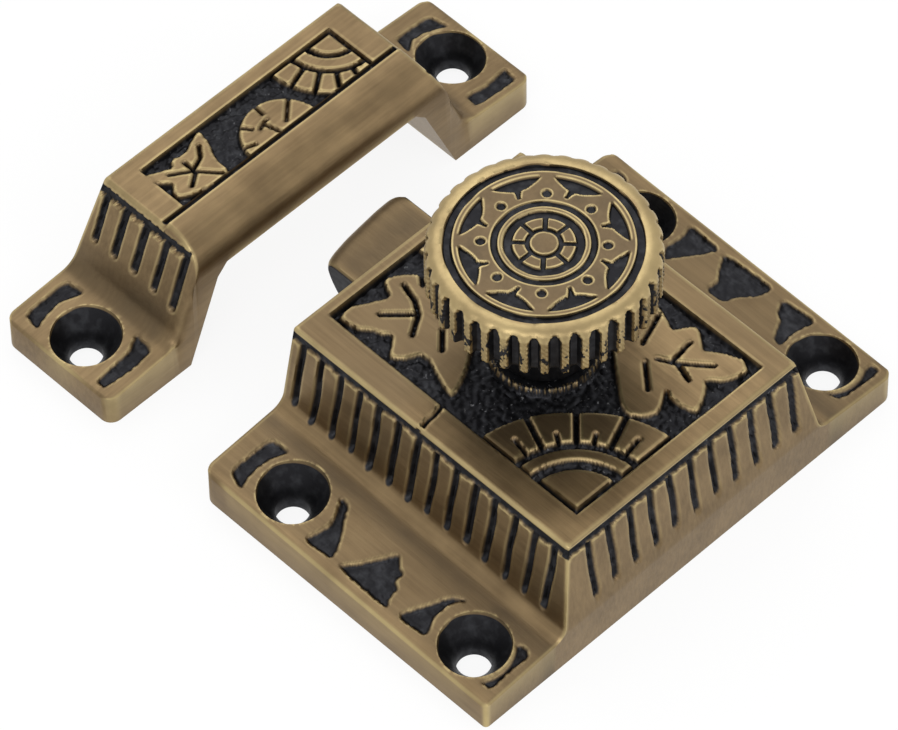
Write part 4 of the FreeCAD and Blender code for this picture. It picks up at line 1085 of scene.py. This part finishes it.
def paintKeeper(piece):
    c = keeperForm
    x, y, z = meshPoints(piece).T
    wing = np.abs(y - c["y"])
    dark = np.zeros(len(x))
    top = (z > 14.8) & (wing < c["legTop"] - 0.2) & (x > c["barIn"] - 0.5)
    dark[top] = keeperTopRelief(x[top], y[top])[1]
    leg = (wing > c["legTop"] - 0.7) & (z > 5.5) & (x > 36.2)
    dark[leg] = np.maximum(dark[leg], keeperLegDepth(x[leg], y[leg], z[leg])[1])
    foot = (wing > 21) & (z > 2.8) & (z < 5.2)
    dark[foot] = np.maximum(dark[foot], keeperFootDepth(x[foot], y[foot])[1])
    hx, hy, _, mouth = c["hole"]
    face = c["foot"] + c["footRise"] * (c["half"] - wing)
    sunk = sinkPatina(x, wing, face - z, (hx, hy), mouth, c["half"])
    # painted glints on the keeper's top
    paint(piece, 0.35 * (z > 14), "glitter")
    # painted shade: the points on the ground are darkened a little
    paint(piece, highest(dark, sunk, 0.25 * (z < 0.01)))
    cloudy = 0.5 + 0.5 * ripple(x * 1.4, y * 1.4, 7)
    # painted shade in the hollow between foot and leg, with mottling all over and darker feet
    hollow = 0.9 * smooth((25.5 - wing) / 4) * smooth((wing - 19) / 2)
    hollow = hollow * (z < 9) * smooth((x - 36.5) / 2)
    paint(piece, highest(hollow, 0.35 * cloudy, 0.3 * (wing > 19)), "grime")


keeper = carve(buildKeeper(), keeperHoles())
paintKeeper(keeper)
finishSurface(keeper, 45)
dress(keeper, keeperBrass)
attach(keeper, "case")
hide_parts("keeper")
print("keeper carved:", len(keeper.data.polygons), "faces")


# Bolt: rounded nose on a flat yoke

boltForm = {
    "half": 6.0, "low": 5.8, "high": 12.3, "back": 13.3, "reach": 30.1, "rail": 1.8, "push": 0.42,
    "yoke": (-3.58, 15.4, 12.894, 8.8),
    "stop": (19.25, 9.194), "pin": (-7.58, 1.5, 8.55), "pad": (3.1, 11.45), "hub": (2.3, 3.9),
    "plan": [(-6.0, 0.75), (-5.7, 0.25), (-4.8, 0.0), (-2.7, 0.07), (0.0, 0.35), (2.2, 0.6), (4.3, 1.0),
             (5.6, 1.4), (6.0, 1.9)],
    "side": [(0.0, 4.3), (0.17, 2.8), (0.36, 1.6), (0.53, 0.8), (0.68, 0.3), (0.82, 0.0), (0.9, 0.1),
             (0.96, 0.5), (1.0, 1.4)],
}


def easedTable(points, count):
    # a smooth line through a short table
    at, value = np.array(points, float).T
    where = at[0] + (at[-1] - at[0]) * np.linspace(0, 1, count)
    line = np.interp(where, at, value)
    for _ in range(3):
        line[1:-1] = (line[:-2] + 2 * line[1:-1] + line[2:]) / 4
    return where, line


def buildBolt():
    c = boltForm
    ys, short = easedTable(c["plan"], 49)
    share, back = easedTable(c["side"], 37)
    rows = []
    for y, less in zip(ys, short):
        # the long edges are taken off a little
        soft = 0.3 * (1 - math.sqrt(1 - min(1, max(0, (abs(y) - c["half"] + 0.3) / 0.3)) ** 2))
        tip = c["reach"] - less - back
        z = np.minimum(c["low"] + (c["high"] - c["low"]) * share, c["high"] - soft)
        top = np.linspace(c["back"], tip[-1], 20)[:-1]
        ring = [(c["back"], y, c["low"])] + [(x, y, c["high"] - soft) for x in top]
        rows.append(ring + [(tip[k], y, z[k]) for k in reversed(range(len(z)))])
    nose = Skin()
    nose.grid(rows, closed=True)
    nose.polygon(rows[0], flip=True)
    nose.polygon(rows[-1])
    yx0, yx1, half, top = c["yoke"]
    piece = blockCutter(yx0, yx1, -half, half, c["low"], top)
    carve(piece, [blockCutter(c["push"], c["back"], -half + c["rail"], half - c["rail"], 0, 20)])
    stop, shoulder = c["stop"]
    pinEnd, pinR, pinZ = c["pin"]
    padHalf, padTop = c["pad"]
    pin = Skin()
    turn = np.arange(32) * math.pi / 16
    ends = [np.stack([np.full(32, x), pinR * np.cos(turn), pinZ + pinR * np.sin(turn)], 1)
            for x in (pinEnd, yx0 + 0.5)]
    pin.grid(ends, closed=True)
    pin.polygon(ends[0], flip=True)
    pin.polygon(ends[-1])
    combine(piece, [blockCutter(c["back"], stop, -shoulder, shoulder, c["low"], top), nose.build("noseBlock"),
                    pin.build("springPin"), blockCutter(yx0, c["push"], -padHalf, padHalf, c["low"], padTop)],
            "UNION")
    hx, hr = c["hub"]
    carve(piece, [turnedCutter(hx, 0, [(hr, 0), (hr, 30)])])
    piece.name = piece.data.name = "shotBolt"
    x, y, z = meshPoints(piece).T
    # painted shade: the bolt's upright sides outside the case and its part inside the case are darkened
    dark = 0.75 * smooth((np.abs(y) - 5.85) / 0.12) * (z < 12.1) * (x > 19)
    paint(piece, np.maximum(dark, 0.6 * (x < 19)))
    # painted shade: the top darkens toward the back and stays lighter over the rounded nose
    paint(piece, 0.5 + 0.5 * smooth((29.3 - x) / 3.5) * smooth((5.6 - np.abs(y)) / 0.8), "grime")
    return piece


bolt = buildBolt()
finishSurface(bolt, 35)
dress(bolt, boltBrass)
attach(bolt, "bolt")
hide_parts("bolt")
print("bolt:", len(bolt.data.polygons), "faces")


# Spring and plate screws: repeated forms as node trees, baked to meshes

def newTree(name, sockets):
    tree = bpy.data.node_groups.new(name, "GeometryNodeTree")
    for label, kind in {**sockets, "Finish": "NodeSocketMaterial"}.items():
        tree.interface.new_socket(name=label, in_out="INPUT", socket_type=kind)
    tree.interface.new_socket(name="Geometry", in_out="OUTPUT", socket_type="NodeSocketGeometry")
    g = Graph(tree)
    return g, g.node("NodeGroupInput").outputs


def bakeTree(name, g, given, geometry, values):
    # closes the tree with a material and bakes it, its inputs set before it is first worked out
    real = g.node("GeometryNodeRealizeInstances", {0: geometry}).outputs[0]
    done = g.node("GeometryNodeSetMaterial", {"Geometry": real, "Material": given["Finish"]}).outputs[0]
    g.node("NodeGroupOutput", {"Geometry": done})
    piece = bpy.data.objects.new(name, bpy.data.meshes.new(name))
    bpy.context.collection.objects.link(piece)
    mod = piece.modifiers.new("form", "NODES")
    mod.node_group = g.tree
    values = {**values, "Finish": screwSteel}
    for item in g.tree.interface.items_tree:
        if item.in_out == "INPUT":
            mod[item.identifier] = values[item.name]
    return bakeModifiers(piece)


springForm = {"Turns": 5.5, "Coil Radius": 2.3 * mm, "Length": 10.6 * mm, "Wire Radius": 0.34 * mm}
springPlace = (-14.59 * mm, 0.0, 8.55 * mm)


def buildSpring():
    g, given = newTree("coilSpring", {k: "NodeSocketFloat" for k in springForm})
    coil = g.node("GeometryNodeCurveSpiral", {
        "Resolution": 40, "Rotations": given["Turns"], "Start Radius": given["Coil Radius"],
        "End Radius": given["Coil Radius"], "Height": given["Length"]})
    wire = g.node("GeometryNodeCurvePrimitiveCircle", {"Resolution": 14, "Radius": given["Wire Radius"]})
    sweep = g.node("GeometryNodeCurveToMesh", {
        "Curve": coil.outputs[0], "Profile Curve": wire.outputs[0], "Fill Caps": True})
    place = g.node("GeometryNodeTransform", {
        "Geometry": sweep.outputs[0], "Rotation": (0, math.pi / 2, 0), "Translation": springPlace})
    return bakeTree("boltSpringCoil", g, given, place.outputs[0], springForm)


screwForm = {"Span X": 31.0 * mm, "Span Y": 22.988 * mm, "Centre X": 2.2 * mm}


def oneScrew():
    profile = [(0.3, 3.2), (1.45, 3.2), (1.68, 3.32), (1.75, 3.6), (1.75, 4.2), (1.66, 4.3), (0.8, 4.3),
               (0.8, 5.4)]
    z = 5.5
    while z < 10.2:
        profile += [(0.8, z), (0.8, z + 0.12), (0.66, z + 0.3), (0.66, z + 0.38)]
        z += 0.55
    screw = turnedCutter(0, 0, profile + [(0.7, 10.5), (0.35, 10.9)], 32)
    return carve(screw, [blockCutter(-3, 3, -0.25, 0.25, 2, 3.7)])


def buildPlateScrews():
    sockets = {k: "NodeSocketFloat" for k in screwForm}
    g, given = newTree("plateScrewSet", {**sockets, "Screw": "NodeSocketObject"})
    corners = g.node("GeometryNodeMeshGrid", {
        "Vertices X": 2, "Vertices Y": 2, "Size X": given["Span X"], "Size Y": given["Span Y"]})
    offset = g.node("ShaderNodeCombineXYZ", {0: given["Centre X"]})
    shift = g.node("GeometryNodeSetPosition", {"Geometry": corners.outputs["Mesh"], "Offset": offset.outputs[0]})
    info = g.node("GeometryNodeObjectInfo", {"Object": given["Screw"]})
    put = g.node("GeometryNodeInstanceOnPoints", {
        "Points": shift.outputs[0], "Instance": info.outputs["Geometry"]})
    screw = oneScrew()
    piece = bakeTree("plateScrewSet", g, given, put.outputs[0], {**screwForm, "Screw": screw})
    bpy.data.objects.remove(screw, do_unlink=True)
    return piece


for build, body, node in ((buildSpring, "case", "bolt_spring"), (buildPlateScrews, "case", "plate_screws")):
    piece = build()
    paint(piece, np.zeros(len(piece.data.vertices)))
    finishSurface(piece, 40)
    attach(piece, body)
    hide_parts(node)
    if node == "bolt_spring":
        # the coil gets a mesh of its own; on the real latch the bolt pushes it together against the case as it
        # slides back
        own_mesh(piece)
    print(piece.name, len(piece.data.polygons), "faces")

for mat, names in ((darkSteel, ("back_plate", "cam", "spindle")), (screwSteel, ("cam_washer", "spindle_screw"))):
    for name in names:
        for slot in frame["nodes"][name].material_slots:
            slot.material = mat


# Floor, light and camera

studio = {"floorZ": -0.00002, "floorSize": 3.0, "world": 0.82, "lamps": [
    ((-0.25, 0.55, 0.75), 0.5, 1.6), ((-0.6, -0.1, 0.45), 0.4, 0.8), ((0.5, -0.3, 0.8), 0.6, 1.2)]}


def whiteForCamera(g, lit):
    # the camera and mirror-like rays see plain white, other rays see what is lit
    path = g.node("ShaderNodeLightPath").outputs
    seen = g.maths("MAXIMUM", path["Is Glossy Ray"], path["Is Transmission Ray"])
    seen = g.times(g.maths("MAXIMUM", path["Is Camera Ray"], seen), 0.88)
    white = g.node("ShaderNodeEmission", {"Color": (1, 1, 1), "Strength": 1.0}).outputs[0]
    return g.node("ShaderNodeMixShader", {0: seen, 1: lit, 2: white}).outputs[0]


def buildStudio():
    c = studio
    half = c["floorSize"] / 2
    mesh = bpy.data.meshes.new("studioFloor")
    corners = [(x * half, y * half, c["floorZ"]) for x, y in ((-1, -1), (1, -1), (1, 1), (-1, 1))]
    mesh.from_pydata(corners, [], [(0, 1, 2, 3)])
    floor = bpy.data.objects.new("studioFloor", mesh)
    bpy.context.collection.objects.link(floor)
    mat = bpy.data.materials.new("paleFloor")
    g = newGraph(mat)
    lit = g.node("ShaderNodeBsdfDiffuse", {"Color": (0.98, 0.98, 0.98)}).outputs[0]
    g.node("ShaderNodeOutputMaterial", {0: whiteForCamera(g, lit)})
    floor.data.materials.append(mat)
    world = bpy.data.worlds.new("paleStudio")
    bpy.context.scene.world = world
    g = newGraph(world)
    direct = g.node("ShaderNodeLightPath").outputs["Is Camera Ray"]
    strength = g.plus(g.times(direct, 1 - c["world"]), c["world"])
    back = g.node("ShaderNodeBackground", {"Color": (1, 1, 1), "Strength": strength})
    g.node("ShaderNodeOutputWorld", {0: back.outputs[0]})
    for i, (at, size, power) in enumerate(c["lamps"]):
        lamp = bpy.data.lights.new("softLamp%d" % i, "AREA")
        lamp.shape, lamp.size, lamp.energy = "DISK", size, power
        ob = bpy.data.objects.new(lamp.name, lamp)
        ob.location = at
        ob.rotation_euler = Vector(at).to_track_quat("Z", "Y").to_euler()
        bpy.context.collection.objects.link(ob)


camera = {"at": (-0.32601, 0.33035, 0.61756), "right": (-0.70303, -0.71110, -0.00943),
          "up": (0.55933, -0.56107, 0.61020), "back": (-0.43920, 0.42371, 0.79219), "lens": 296.9, "sensor": 36.0}


def buildCamera():
    c = camera
    data = bpy.data.cameras.new("photoCamera")
    data.lens, data.sensor_width, data.sensor_fit = c["lens"], c["sensor"], "HORIZONTAL"
    data.clip_start, data.clip_end = 0.01, 20
    ob = bpy.data.objects.new("photoCamera", data)
    turn = Matrix((c["right"], c["up"], c["back"])).transposed().to_4x4()
    ob.matrix_world = Matrix.Translation(c["at"]) @ turn
    bpy.context.collection.objects.link(ob)
    bpy.context.scene.camera = ob
    bpy.context.scene.view_settings.view_transform = "Standard"


buildStudio()
buildCamera()
print("studio ready")
